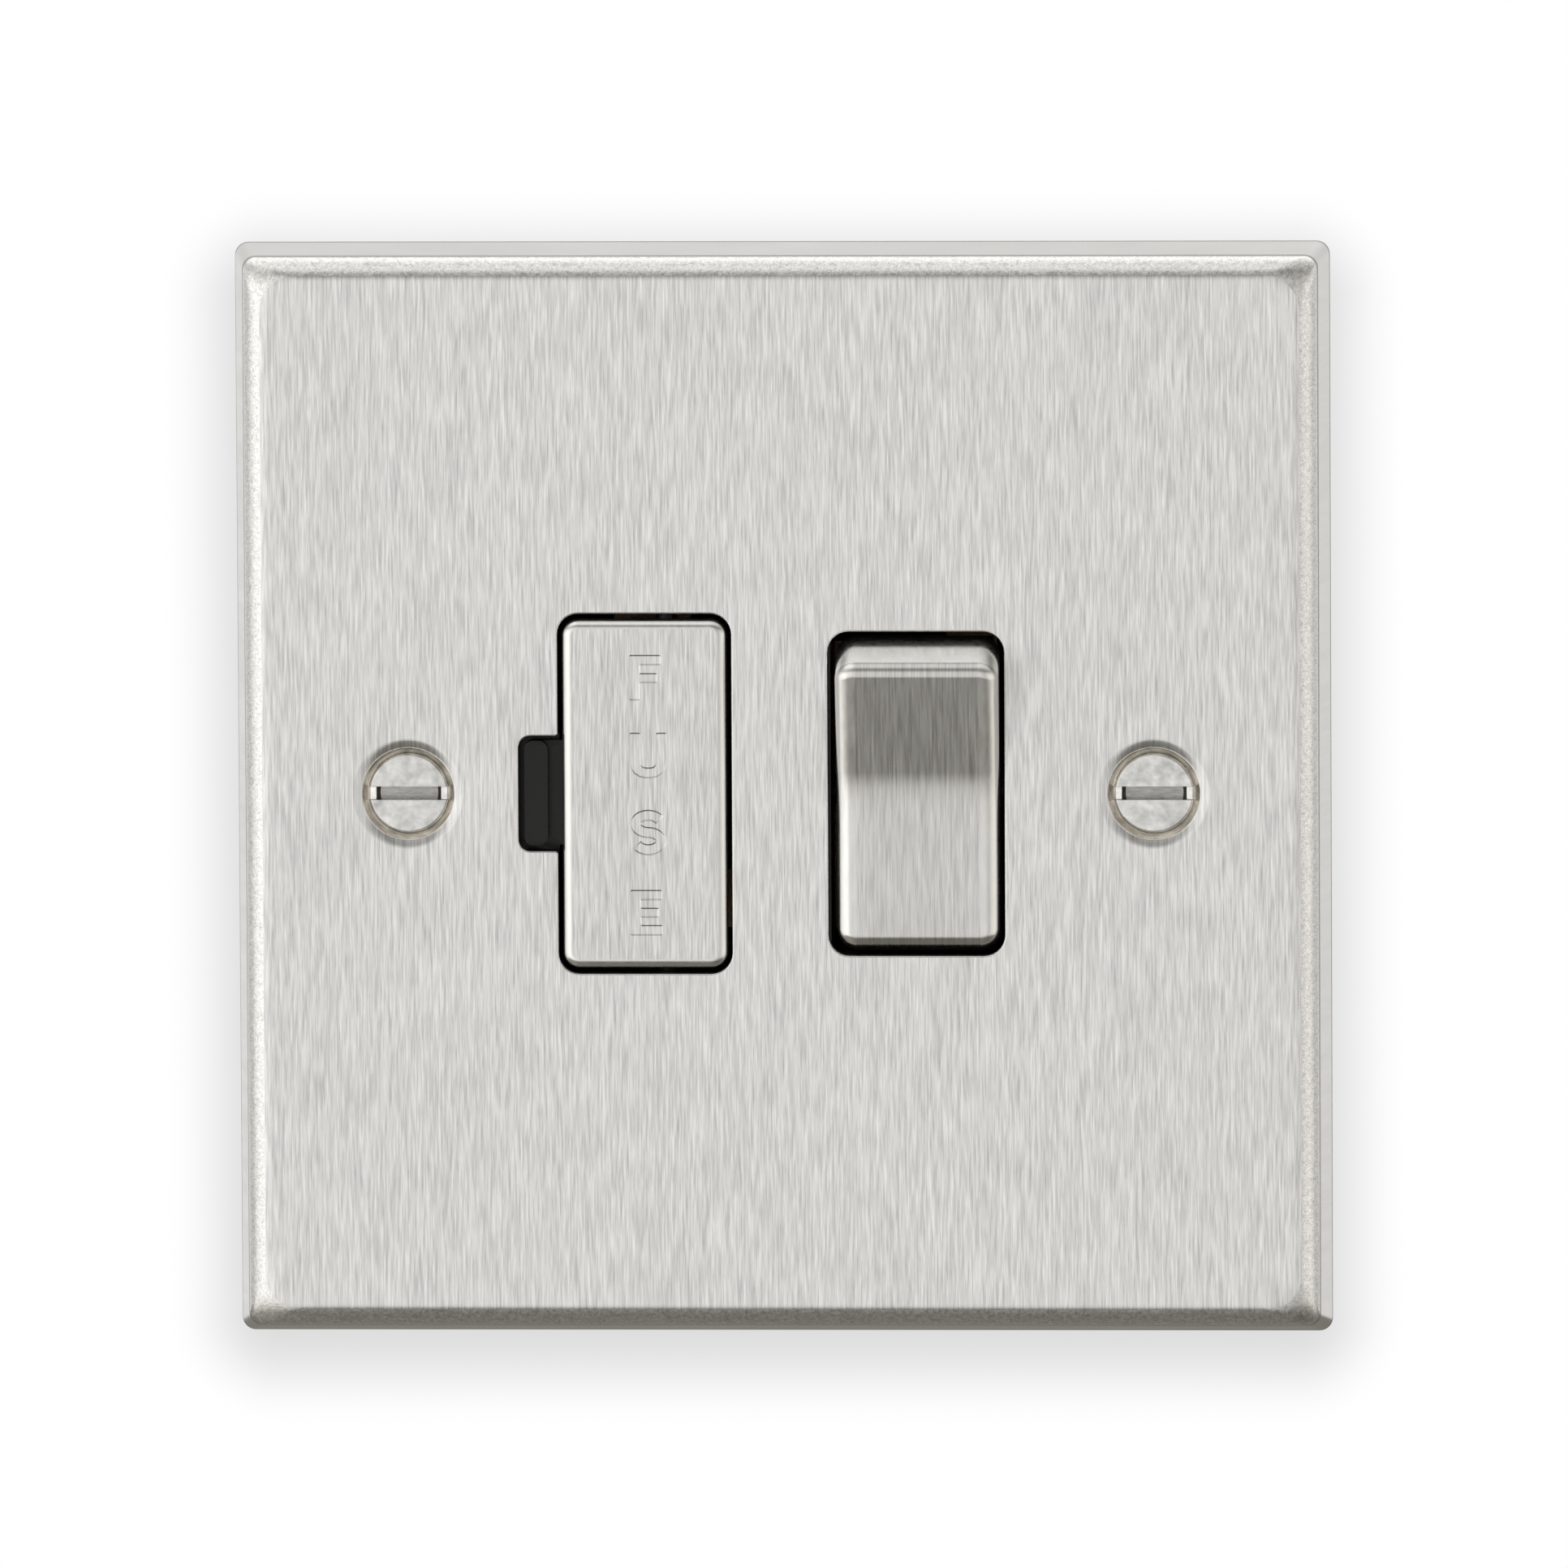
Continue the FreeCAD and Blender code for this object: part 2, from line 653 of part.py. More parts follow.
def make_fixing_screws():
    """Two countersunk slotted screws, each turned from one profile."""
    for side, x in (("left", "-fixing_centres / 2"), ("right", "fixing_centres / 2")):
        name = "FixingScrew" + side.title()
        body = new_body(name)
        profile = new_sketch(body, name + "Profile", "Z")
        head = "head_diameter / 2"
        shank = "screw_diameter / 2"
        top = f"{HEAD_TOP_CONE} - head_rim"
        tip = f"{HEAD_TOP_CONE} + screw_length"
        draw_polygon(
            profile,
            [
                ("0", top),
                (head, top),
                (head, HEAD_TOP_CONE),
                (shank, f"{HEAD_TOP_CONE} + {head} - {shank}"),
                (shank, tip),
                ("0", tip),
            ],
        )
        turned = body.newObject("PartDesign::Revolution", name + "Turned")
        turned.Profile = (profile, [""])
        turned.ReferenceAxis = (profile, ["V_Axis"])
        turned.Angle = 360
        slot = new_sketch(body, name + "SlotOutline", "Y", f"{top} + slot_depth")
        draw_polygon(
            slot,
            [
                ("-head_diameter", "-slot_width / 2"),
                ("head_diameter", "-slot_width / 2"),
                ("head_diameter", "slot_width / 2"),
                ("-head_diameter", "slot_width / 2"),
            ],
        )
        groove = pocket(body, name + "Slot", slot, "slot_depth * 2")
        groove.Reversed = True
        place(body, x)
        piece(body, f"fixing_screw_{side}")


# Fuse carrier, its cap and the fuse

def make_fuse_cap():
    """The metal skin of the fuse carrier."""
    body = slab(
        "FuseCap",
        (CAP_LEFT, CAP_RIGHT),
        (CAP_FRONT, f"{CAP_FRONT} + cap_depth"),
        either_side(CAP_HALF_HEIGHT),
        "opening_corner - cap_side_gap",
    )
    front = number(CAP_FRONT)

    def in_front(edge):
        """Whether an edge lies in the cap's front face."""
        return edge.BoundBox.YMax < front + NEAR

    ease_edges(body, "FuseCapBevel", "PartDesign::Chamfer", "cap_bevel", in_front)
    hollow = new_sketch(body, "FuseCapHollow", "Y", f"{CAP_FRONT} + cap_depth")
    draw_rounded(
        hollow,
        (f"{CAP_LEFT} + metal_skin", f"{CAP_RIGHT} - metal_skin"),
        either_side(f"{CAP_HALF_HEIGHT} - metal_skin"),
        "opening_corner - cap_side_gap - metal_skin",
    )
    inside = pocket(body, "FuseCapInside", hollow, "cap_depth - metal_skin")
    inside.Reversed = True
    piece(body, "fuse_carrier_cap")


def make_fuse_carrier():
    """The moulded carrier: head, fuse cradle, hinge pins and lever tab."""
    inner = "(metal_skin + skin_gap)"
    head_rear = HINGE_Y
    head = slab(
        "CarrierHead",
        (f"{CAP_LEFT} + {inner}", f"{CAP_RIGHT} - {inner}"),
        (f"{CAP_FRONT} + {inner}", head_rear),
        either_side(f"{CAP_HALF_HEIGHT} - {inner}"),
        "opening_corner - cap_side_gap - metal_skin",
    )
    outer = "(fuse_cap_radius + cradle_gap + cradle_wall)"
    fuse_reach = f"{FUSE_HALF} + cradle_gap"
    stop_end = f"({fuse_reach} + stop_thickness)"
    saddle = block(
        "CarrierSaddle",
        about(FUSE_X, outer),
        (f"{head_rear} - metal_skin", f"{FUSE_Y} + cradle_wall"),
        either_side("cradle_length / 2"),
    )
    seat = rod(
        "CarrierSeat",
        "Z",
        (FUSE_X, FUSE_Y),
        either_side("cradle_length / 2 + overrun"),
        "fuse_cap_radius + cradle_gap",
    )
    cradle = cut("CarrierCradle", saddle, [seat])
    stops = [
        block(
            f"CarrierStop{end}",
            about(FUSE_X, outer),
            (f"{head_rear} - metal_skin", f"{FUSE_Y} + cradle_wall"),
            limits,
        )
        for end, limits in (
            ("Upper", (fuse_reach, stop_end)),
            ("Lower", (f"-{stop_end}", f"-({fuse_reach})")),
        )
    ]
    swing = rod(
        "CarrierSwing",
        "Z",
        (HINGE_X, HINGE_Y),
        either_side("fuse_length"),
        f"{HINGE_X} - {CAP_LEFT}",
    )
    tray = shared("CarrierTray", [joined("CarrierTrayParts", [cradle] + stops), swing])
    pin_end = f"{FUSE_OPENING_HALF} + hinge_pin_length"
    knuckles = [
        rod(
            f"CarrierPin{end}",
            "Z",
            (HINGE_X, HINGE_Y),
            limits,
            "hinge_pin_radius",
        )
        for end, limits in (
            ("Upper", (f"{stop_end} - stop_thickness - pin_root", pin_end)),
            ("Lower", (f"-({pin_end})", f"stop_thickness + pin_root - {stop_end}")),
        )
    ]
    tab_left = f"({FUSE_LEFT} - notch_reach + tab_end_gap)"
    tab_rear = f"{HINGE_Y} - running_gap"
    floor_front = f"({tab_rear} - tab_thickness)"
    tab = slab(
        "CarrierTab",
        (tab_left, f"{CAP_LEFT} + {inner} + tab_root"),
        (floor_front, tab_rear),
        either_side("tab_height / 2"),
        "tab_corner",
    )
    tab_pad = slab(
        "CarrierPad",
        (tab_left, f"{tab_left} + tab_pad"),
        (f"{floor_front} - tab_pad_rise", floor_front),
        either_side("tab_height / 2"),
        "tab_corner",
    )
    solid = joined("FuseCarrier", [head, tray, tab, tab_pad] + knuckles)
    piece(solid, "fuse_carrier")


def make_fuse():
    """The cartridge fuse: a tube in two end caps."""
    tube_end = f"{FUSE_HALF} - fuse_cap_end"
    sleeve = f"({FUSE_HALF} - fuse_cap_length)"
    at = (FUSE_X, FUSE_Y)
    tube = rod("FuseTube", "Z", at, either_side(tube_end), "fuse_tube_radius")
    piece(tube, "fuse_tube")
    ends = {
        "upper": ((sleeve, FUSE_HALF), (f"{sleeve} - overrun", tube_end)),
        "lower": ((f"-{FUSE_HALF}", f"-{sleeve}"), (f"-({tube_end})", f"overrun - {sleeve}")),
    }
    for end, (limits, bore) in ends.items():
        name = "FuseEnd" + end.title()
        solid = rod(name + "Outside", "Z", at, limits, "fuse_cap_radius")
        core = rod(name + "Bore", "Z", at, bore, "fuse_tube_radius")
        piece(cut(name, solid, [core]), f"fuse_end_cap_{end}")


# Rocker

def draw_rocker_side(sketch, inset, tail):
    """Side view of the rocker about its pivot, drawn in from its outside.

    Two flat faces lean to a shallow valley, and both ends are arcs about the pivot.
    """
    sweep = f"(rocker_sweep - ({inset}))"
    valley = f"(rocker_face_height - ({inset}) / cos(rocker_tilt))"
    radius = number(sweep)
    lean = math.radians(number("rocker_tilt"))
    valley_at = number(valley)
    tail_at = number(tail)
    # The leaning face meets the end arc where u = valley + w tan(lean) on the circle.
    steep = 1 + math.tan(lean) ** 2
    half = valley_at * math.tan(lean)
    tip_z = (math.sqrt(half**2 - steep * (valley_at**2 - radius**2)) - half) / steep
    tip_y = -(valley_at + tip_z * math.tan(lean))
    tail_z = math.sqrt(radius**2 - tail_at**2)
    tail_angle = math.atan2(tail_z, tail_at)
    tip_angle = math.atan2(tip_z, tip_y)
    circle = Part.Circle(V(0, 0, 0), V(0, 0, 1), radius)
    upper = sketch.addGeometry(Part.ArcOfCircle(circle, tail_angle, tip_angle))
    face_up = sketch.addGeometry(
        Part.LineSegment(V(tip_y, tip_z, 0), V(-valley_at, 0, 0))
    )
    face_down = sketch.addGeometry(
        Part.LineSegment(V(-valley_at, 0, 0), V(tip_y, -tip_z, 0))
    )
    lower = sketch.addGeometry(
        Part.ArcOfCircle(circle, 2 * math.pi - tip_angle, 2 * math.pi - tail_angle)
    )
    back = sketch.addGeometry(
        Part.LineSegment(V(tail_at, -tail_z, 0), V(tail_at, tail_z, 0))
    )
    rule = Sketcher.Constraint
    sketch.addConstraint(
        [
            rule("Coincident", upper, 2, face_up, 1),
            rule("Coincident", face_up, 2, face_down, 1),
            rule("Coincident", face_down, 2, lower, 1),
            rule("Coincident", lower, 2, back, 1),
            rule("Coincident", back, 2, upper, 1),
            rule("Coincident", upper, 3, -1, 1),
            rule("Coincident", lower, 3, -1, 1),
            rule("Equal", upper, lower),
            rule("PointOnObject", face_up, 2, -1),
        ]
    )
    for kind, where, text in (
        ("Radius", (upper,), sweep),
        ("DistanceX", (-1, 1, face_up, 2), f"-{valley}"),
        ("DistanceX", (-1, 1, back, 1), tail),
        ("DistanceX", (-1, 1, back, 2), tail),
    ):
        row = sketch.addConstraint(rule(kind, *where, number(text)))
        sketch.setExpression(f"Constraints[{row}]", formula(text))
    sketch.addConstraint(rule("Vertical", face_up, 1, face_down, 2))
    row = sketch.addConstraint(rule("Angle", face_down, -math.pi / 2 - lean))
    sketch.setExpression(f"Constraints[{row}]", formula("-(90 + rocker_tilt) * 1 deg"))


def tilt_rocker(thing, forward="0"):
    """Stand a rocker piece at the pivot, leaning to the position it is kept in."""
    thing.Placement = FreeCAD.Placement(V(0, 0, 0), FreeCAD.Rotation(V(1, 0, 0), 1))
    place(thing, "rocker_centre", PIVOT_Y, forward)
    bind(thing, Placement__Rotation__Angle="rocker_tilt")


def is_valley(edge):
    """Whether an edge of the rocker, before it is tilted, is its face's valley."""
    box = edge.BoundBox
    return box.XLength > NEAR and abs(box.ZMin) < NEAR and abs(box.ZMax) < NEAR


def make_rocker_cap():
    """The metal skin of the rocker."""
    body = new_body("RockerCap")
    outside = new_sketch(body, "RockerCapSide", "X")
    draw_rocker_side(outside, "0", "-rocker_skirt")
    pad(body, "RockerCapPad", outside, "rocker_width", symmetric=True)
    ease_edges(body, "RockerCapValley", "PartDesign::Fillet", "rocker_valley", is_valley)
    skirt = -number("rocker_skirt")
    blend = number("rocker_sweep") / 2

    def on_face_rim(edge):
        """Whether an edge is neither the skirt's nor a side of the valley's blend."""
        box = edge.BoundBox
        of_skirt = box.YLength < NEAR and box.YMax > skirt - NEAR
        of_blend = box.XLength > NEAR and abs(box.ZMax) < blend
        return not (of_skirt or of_blend)

    ease_edges(body, "RockerCapBevel", "PartDesign::Chamfer", "rocker_bevel", on_face_rim)
    inside = new_sketch(body, "RockerCapInside", "X")
    draw_rocker_side(inside, "metal_skin", "0")
    pocket(
        body, "RockerCapHollow", inside, "rocker_width - 2 * metal_skin", symmetric=True
    )
    tilt_rocker(body)
    piece(body, "rocker_cap")


def make_rocker():
    """The hollow rocker with its ears, trunnions and plunger guides."""
    inset = "(metal_skin + skin_gap)"
    half = f"(rocker_width / 2 - {inset})"
    body = new_body("RockerMoulding")
    outside = new_sketch(body, "RockerSide", "X")
    draw_rocker_side(outside, inset, "rocker_tail")
    pad(body, "RockerPad", outside, f"2 * {half}", symmetric=True)
    inside = new_sketch(body, "RockerInside", "X")
    draw_rocker_side(inside, f"{inset} + rocker_wall", "rocker_tail + overrun")
    pocket(
        body, "RockerHollow", inside, f"2 * ({half} - rocker_wall)", symmetric=True
    )
    added = [body]
    removed = []
    for side, sign in (("Left", "-1"), ("Right", "1")):
        inner = f"{sign} * ({half} - rocker_wall)"
        outer = f"{sign} * {half}"
        reach = f"{sign} * trunnion_reach"
        ear = (outer, inner) if sign == "-1" else (inner, outer)
        stub = (reach, inner) if sign == "-1" else (inner, reach)
        added.append(rod(f"RockerEar{side}", "X", ("0", "0"), ear, "ear_radius"))
        added.append(
            rod(f"RockerTrunnion{side}", "X", ("0", "0"), stub, "trunnion_radius")
        )
        at = (f"{sign} * pole_spacing / 2", "0")
        bore = "plunger_radius + running_gap"
        added.append(
            rod(
                f"RockerGuide{side}",
                "Y",
                at,
                ("-guide_floor - guide_wall - metal_skin", "guide_reach"),
                f"{bore} + guide_wall",
            )
        )
        removed.append(
            rod(f"RockerBore{side}", "Y", at, ("-guide_floor", "guide_reach + overrun"), bore)
        )
    solid = cut("Rocker", joined("RockerSolid", added), removed)
    tilt_rocker(solid)
    piece(solid, "rocker")


def coil_path(height):
    """Points of a coil along +Z, a few chords to each turn."""
    chords = int(number("spring_turns") * number("spring_chords"))
    step = 2 * math.pi / number("spring_chords")
    radius = number("spring_radius")
    rise = number(height) / chords
    return [
        V(radius * math.cos(i * step), radius * math.sin(i * step), i * rise)
        for i in range(chords + 1)
    ]


def make_plungers():
    """Both plungers and the coil springs behind them."""
    for pole, sign in (("live", "-1"), ("neutral", "1")):
        name = "Plunger" + pole.title()
        at = f"{sign} * pole_spacing / 2"
        shoulder = "(plunger_reach - plunger_radius + plunger_flat)"
        end = "plunger_reach"
        rear = "(plunger_reach - plunger_length)"
        stem = rod(name + "Stem", "Y", (at, "0"), (rear, shoulder), "plunger_radius")
        tip = taper(
            name + "Tip", "Y", (at, "0"), (shoulder, end), "plunger_radius", "plunger_flat"
        )
        solid = joined(name, [stem, tip])
        tilt_rocker(solid)
        piece(solid, f"plunger_{pole}")

        room = f"({rear} + guide_floor - spring_wire - skin_gap)"
        path = doc.addObject("Part::Polygon", name + "CoilPath")
        path.Nodes = coil_path(room)
        wire = doc.addObject("Part::RegularPolygon", name + "CoilWire")
        bind(wire, Circumradius="spring_wire / 2", Polygon="spring_sides")
        wire.Placement = FreeCAD.Placement(V(0, 0, 0), FreeCAD.Rotation(V(1, 0, 0), 90))
        place(wire, "spring_radius")
        spring = doc.addObject("Part::Sweep", name + "Coil")
        spring.Sections = [wire]
        spring.Spine = (path, [])
        spring.Solid = True
        spring.Transition = "Right corner"
        spring.Placement = FreeCAD.Placement(V(0, 0, 0), AXIS_TURN["Y"])
        place(spring, at, "skin_gap / 2 + spring_wire / 2 - guide_floor")
        held = carried(name + "Spring", [spring])
        tilt_rocker(held)
        piece(held, f"plunger_spring_{pole}")


# Contacts and straps

def make_moving_contacts():
    """Both see-saw contacts with their silver tips."""
    for pole, x in (("live", POLE_LIVE), ("neutral", POLE_NEUTRAL)):
        name = "MovingContact" + pole.title()
        half = "seesaw_width / 2"
        strip = block(
            name + "Strip",
            either_side(half),
            ("-strip_thickness", "0"),
            either_side("seesaw_half_length"),
        )
        corner = number("seesaw_corner")
        soft = eased(
            name + "Ends",
            strip,
            lambda edge: corner if edge.BoundBox.YLength > NEAR else None,
            "Part::Chamfer",
        )
        boss = rod(name + "Boss", "X", ("0", "0"), either_side(half), "seesaw_boss")
        front = block(
            name + "Trim",
            either_side(f"{half} + overrun"),
            ("-seesaw_boss - overrun", "-strip_thickness"),
            either_side("seesaw_boss + overrun"),
        )
        solid = cut(name, joined(name + "Solid", [soft, boss]), [front])
        tip = block(
            name + "Tip",
            either_side("tip_half"),
            ("0", "tip_thickness"),
            about("tip_place", "tip_half"),
        )
        held = carried(name + "TipHeld", [tip])
        for thing, label in (
            (solid, f"moving_contact_{pole}"),
            (held, f"moving_contact_tip_{pole}"),
        ):
            backwards = FreeCAD.Rotation(V(-1, 0, 0), 1)
            thing.Placement = FreeCAD.Placement(V(0, 0, 0), backwards)
            place(thing, x, SEESAW_Y)
            bind(thing, Placement__Rotation__Angle="rocker_tilt")
            piece(thing, label)


def make_contact_supports():
    """Straps and cradles that both see-saw contacts rock on."""
    for pole, x in (("live", POLE_LIVE), ("neutral", POLE_NEUTRAL)):
        name = "Support" + pole.title()
        width = about(x, "support_width / 2")
        strap = block(
            name + "Strap",
            width,
            (STRAP_FRONT, STRAP_REAR),
            (f"-{TERMINAL_INNER}", "support_half_height"),
        )
        post = block(
            name + "Post",
            width,
            (f"{SEESAW_Y} + support_clear", STRAP_REAR),
            either_side("support_half_height"),
        )
        seat = rod(
            name + "Seat",
            "X",
            (SEESAW_Y, "0"),
            about(x, "support_width"),
            "seesaw_boss + running_gap",
        )
        piece(cut(name, joined(name + "Solid", [strap, post]), [seat]), f"contact_support_{pole}")


def make_fixed_contacts():
    """Straps, link and silver tips that the see-saw contacts close on."""
    pad_low = "(tip_place - tip_half)"
    pad_high = "(tip_place + tip_half)"
    strip = (FIXED_FRONT, FIXED_REAR)
    neutral = block(
        "FixedNeutral",
        about(POLE_NEUTRAL, "seesaw_width / 2"),
        strip,
        (pad_low, TERMINAL_INNER),
    )
    piece(neutral, "load_neutral_strap")
    right = f"{POLE_LIVE} + seesaw_width / 2"
    run_left = f"{POLE_LIVE} - seesaw_width / 2 - link_width - running_gap"
    foot_low = f"-{FUSE_HALF}"
    foot_high = f"clip_length - {FUSE_HALF}"
    foot_left = f"{FUSE_X} - fuse_cap_radius"
    link = prism(
        "LiveLink",
        "Y",
        [
            (right, pad_low),
            (right, pad_high),
            (run_left, pad_high),
            (run_left, foot_high),
            (foot_left, foot_high),
            (foot_left, foot_low),
            (f"{run_left} + link_width", foot_low),
            (f"{run_left} + link_width", pad_low),
        ],
        strip,
    )
    piece(link, "live_link")
    load = block(
        "LoadLive",
        about(FUSE_X, "fuse_cap_radius"),
        strip,
        (f"{FUSE_HALF} - clip_length", TERMINAL_INNER),
    )
    piece(load, "load_live_strap")
    for pole, x in (("live", POLE_LIVE), ("neutral", POLE_NEUTRAL)):
        tip = block(
            "FixedTip" + pole.title(),
            about(x, "tip_half"),
            (TIP_FRONT, FIXED_FRONT),
            about("tip_place", "tip_half"),
        )
        piece(tip, f"fixed_contact_tip_{pole}")


def make_fuse_contacts():
    """The two sprung contacts behind the ends of the fuse."""
    inner = "(fuse_cap_radius + clip_gap)"
    outer = f"({inner} + clip_thickness)"
    leg_left = f"{outer} * sin(clip_leg_turn)"
    for end, limits in (
        ("upper", (f"{FUSE_HALF} - clip_length", FUSE_HALF)),
        ("lower", (f"-{FUSE_HALF}", f"clip_length - {FUSE_HALF}")),
    ):
        name = "FuseClip" + end.title()
        at = (FUSE_X, FUSE_Y)
        sleeve = cut(
            name + "Sleeve",
            rod(name + "Outside", "Z", at, limits, outer),
            [rod(name + "Inside", "Z", at, limits, inner)],
        )
        rear = block(
            name + "Rear",
            (f"{FUSE_X} - {leg_left}", f"{FUSE_X} + {outer} * sin(clip_end_turn)"),
            (f"{FUSE_Y} + {inner} / 2", f"{FUSE_Y} + {outer} + overrun"),
            limits,
        )
        leg = block(
            name + "Leg",
            (f"{FUSE_X} - {leg_left}", f"{FUSE_X} - {leg_left} + clip_thickness"),
            (f"{FUSE_Y} + {outer} * cos(clip_leg_turn) - clip_thickness / 4", FIXED_FRONT),
            limits,
        )
        solid = joined(name, [shared(name + "Arc", [sleeve, rear]), leg])
        piece(solid, f"fuse_contact_{end}")


# Terminals

def to_end(side, low, high):
    """A span of Z towards the upper end, or the same towards the lower end."""
    return (low, high) if side > 0 else (f"-({high})", f"-({low})")


def make_terminals():
    """Six bored blocks and the screws that clamp their wires."""
    for label, (column, side) in TERMINALS.items():
        name = "Terminal" + label.title().replace("_", "")
        body = block(
            name + "Block",
            about(column, "terminal_width / 2"),
            (TERMINAL_FRONT, FLOOR),
            to_end(side, TERMINAL_INNER, TERMINAL_OUTER),
        )
        bore_z = to_end(
            side, f"{TERMINAL_OUTER} - wire_bore_length", f"{TERMINAL_OUTER} + overrun"
        )
        bore = rod(name + "Bore", "Z", (column, WIRE_Y), bore_z, "wire_radius")
        clamp_at = (column, CLAMP_Z if side > 0 else f"-{CLAMP_Z}")
        thread = rod(
            name + "Thread",
            "Y",
            clamp_at,
            (WIRE_Y, f"{FLOOR} + overrun"),
            "clamp_radius + running_gap",
        )
        piece(cut(name, body, [bore, thread]), f"{label}_terminal")
        screw = rod(
            name + "Screw",
            "Y",
            clamp_at,
            (f"{WIRE_Y} + wire_radius + running_gap", f"{FLOOR} + clamp_stand"),
            "clamp_radius",
        )
        piece(screw, f"{label}_terminal_screw")


def make_earth_parts():
    """The strap between the earth terminals and the clip to the plate."""
    link = block(
        "EarthLink",
        about("column_earth", "support_width / 2"),
        (STRAP_FRONT, STRAP_REAR),
        either_side(TERMINAL_INNER),
    )
    piece(link, "earth_link")
    # The clip leaves the earth terminal, passes between the flange and the end
    # wall's edge, and turns through the flange's notch to lie on the sheet.
    inside = f"({TERMINAL_OUTER} + running_gap)"
    turn = f"({EARTH_TURN} + strip_thickness)"
    run = f"({INSERT_REAR} + running_gap)"
    clip = prism(
        "EarthClip",
        "X",
        [
            (SHEET_REAR, EARTH_TURN),
            (SHEET_REAR, f"{turn} + earth_foot"),
            (f"{SHEET_REAR} + strip_thickness", f"{turn} + earth_foot"),
            (f"{SHEET_REAR} + strip_thickness", turn),
            (f"{run} + strip_thickness", turn),
            (f"{run} + strip_thickness", f"{inside} + strip_thickness"),
            (TERMINAL_FRONT, f"{inside} + strip_thickness"),
            (TERMINAL_FRONT, TERMINAL_OUTER),
            (f"{TERMINAL_FRONT} - strip_thickness", TERMINAL_OUTER),
            (f"{TERMINAL_FRONT} - strip_thickness", inside),
            (run, inside),
            (run, EARTH_TURN),
        ],
        about("column_earth", "earth_width / 2"),
    )
    piece(clip, "faceplate_earth_clip")


# Front insert

def make_front_insert():
    """The flange and the two wells behind the plate."""
    wall = "well_wall"
    flange = slab(
        "InsertFlange",
        either_side("housing_half_width"),
        (INSERT_FRONT, INSERT_REAR),
        either_side(INSERT_HALF_HEIGHT),
        "housing_corner",
    )
    fuse_x = (FUSE_LEFT, FUSE_WELL_RIGHT)
    fuse_z = FUSE_OPENING_HALF
    rocker_half = "(rocker_width / 2 + rocker_well_gap)"
    rocker_x = about("rocker_centre", rocker_half)
    rocker_z = "(rocker_sweep + rocker_end_gap)"
    deep = (INSERT_FRONT, "well_rear")
    grown = [
        flange,
        block(
            "FuseWell",
            (f"{fuse_x[0]} - {wall}", f"{fuse_x[1]} + {wall}"),
            deep,
            either_side(f"{fuse_z} + {wall}"),
        ),
        block(
            "RockerWell",
            (f"{rocker_x[0]} - {wall}", f"{rocker_x[1]} + {wall}"),
            deep,
            either_side(f"{rocker_z} + {wall}"),
        ),
    ]
    through = (f"{INSERT_FRONT} - overrun", "well_rear + overrun")
    removed = [
        block("FuseWellHole", fuse_x, through, either_side(fuse_z)),
        block("RockerWellHole", rocker_x, through, either_side(rocker_z)),
        slab(
            "LeverRecess",
            (f"{FUSE_LEFT} - notch_reach - running_gap", f"{FUSE_LEFT} + overrun"),
            (f"{INSERT_FRONT} - overrun", f"{HINGE_Y} + running_gap"),
            either_side("notch_height / 2 + running_gap"),
            "tab_corner",
        ),
        rod(
            "HingeBearing",
            "Z",
            (HINGE_X, HINGE_Y),
            either_side(f"{fuse_z} + hinge_pin_length + running_gap"),
            "hinge_pin_radius + running_gap",
        ),
        rod(
            "TrunnionBearing",
            "X",
            (PIVOT_Y, "0"),
            about("rocker_centre", f"{rocker_half} + {wall} + overrun"),
            "trunnion_radius + running_gap",
        ),
    ]
    through_flange = (f"{INSERT_FRONT} - overrun", f"{INSERT_REAR} + overrun")
    removed.append(
        block(
            "EarthNotch",
            about("column_earth", "earth_width / 2 + passing_gap"),
            through_flange,
            (f"{EARTH_TURN} - passing_gap", f"{INSERT_HALF_HEIGHT} + overrun"),
        )
    )
    for at in STUDS:
        name = f"StudHole{len(removed)}"
        removed.append(rod(name, "Y", at, through_flange, "stud_radius + passing_gap"))
    for at in POSTS:
        name = f"PilotHole{len(removed)}"
        pilot = (f"{INSERT_REAR} - pilot_depth", through_flange[1])
        removed.append(rod(name, "Y", at, pilot, "housing_screw_radius + running_gap"))
    piece(cut("FrontInsert", joined("InsertSolid", grown), removed), "front_insert")


def make_stud_nuts():
    """Hexagon nuts on the weld studs."""
    nuts = []
    for x, z in STUDS:
        name = f"StudNut{len(nuts) + 1}"
        outline = doc.addObject("Part::RegularPolygon", name + "Outline")
        outline.Polygon = 6
        bind(outline, Circumradius="nut_across / sqrt(3)")
        outline.Placement = FreeCAD.Placement(V(0, 0, 0), AXIS_TURN["Y"])
        place(outline, x, INSERT_REAR, z)
        body = doc.addObject("Part::Extrusion", name + "Body")
        body.Base = outline
        body.DirMode = "Custom"
        body.Dir = V(0, 1, 0)
        body.Solid = True
        bind(body, LengthFwd="nut_height")
        span = (f"{INSERT_REAR} - overrun", f"{INSERT_REAR} + nut_height + overrun")
        hole = rod(name + "Hole", "Y", (x, z), span, "stud_radius + running_gap")
        nuts.append(cut(name, body, [hole]))
    piece(carried("StudNuts", nuts), "stud_nuts")


# Rear housing

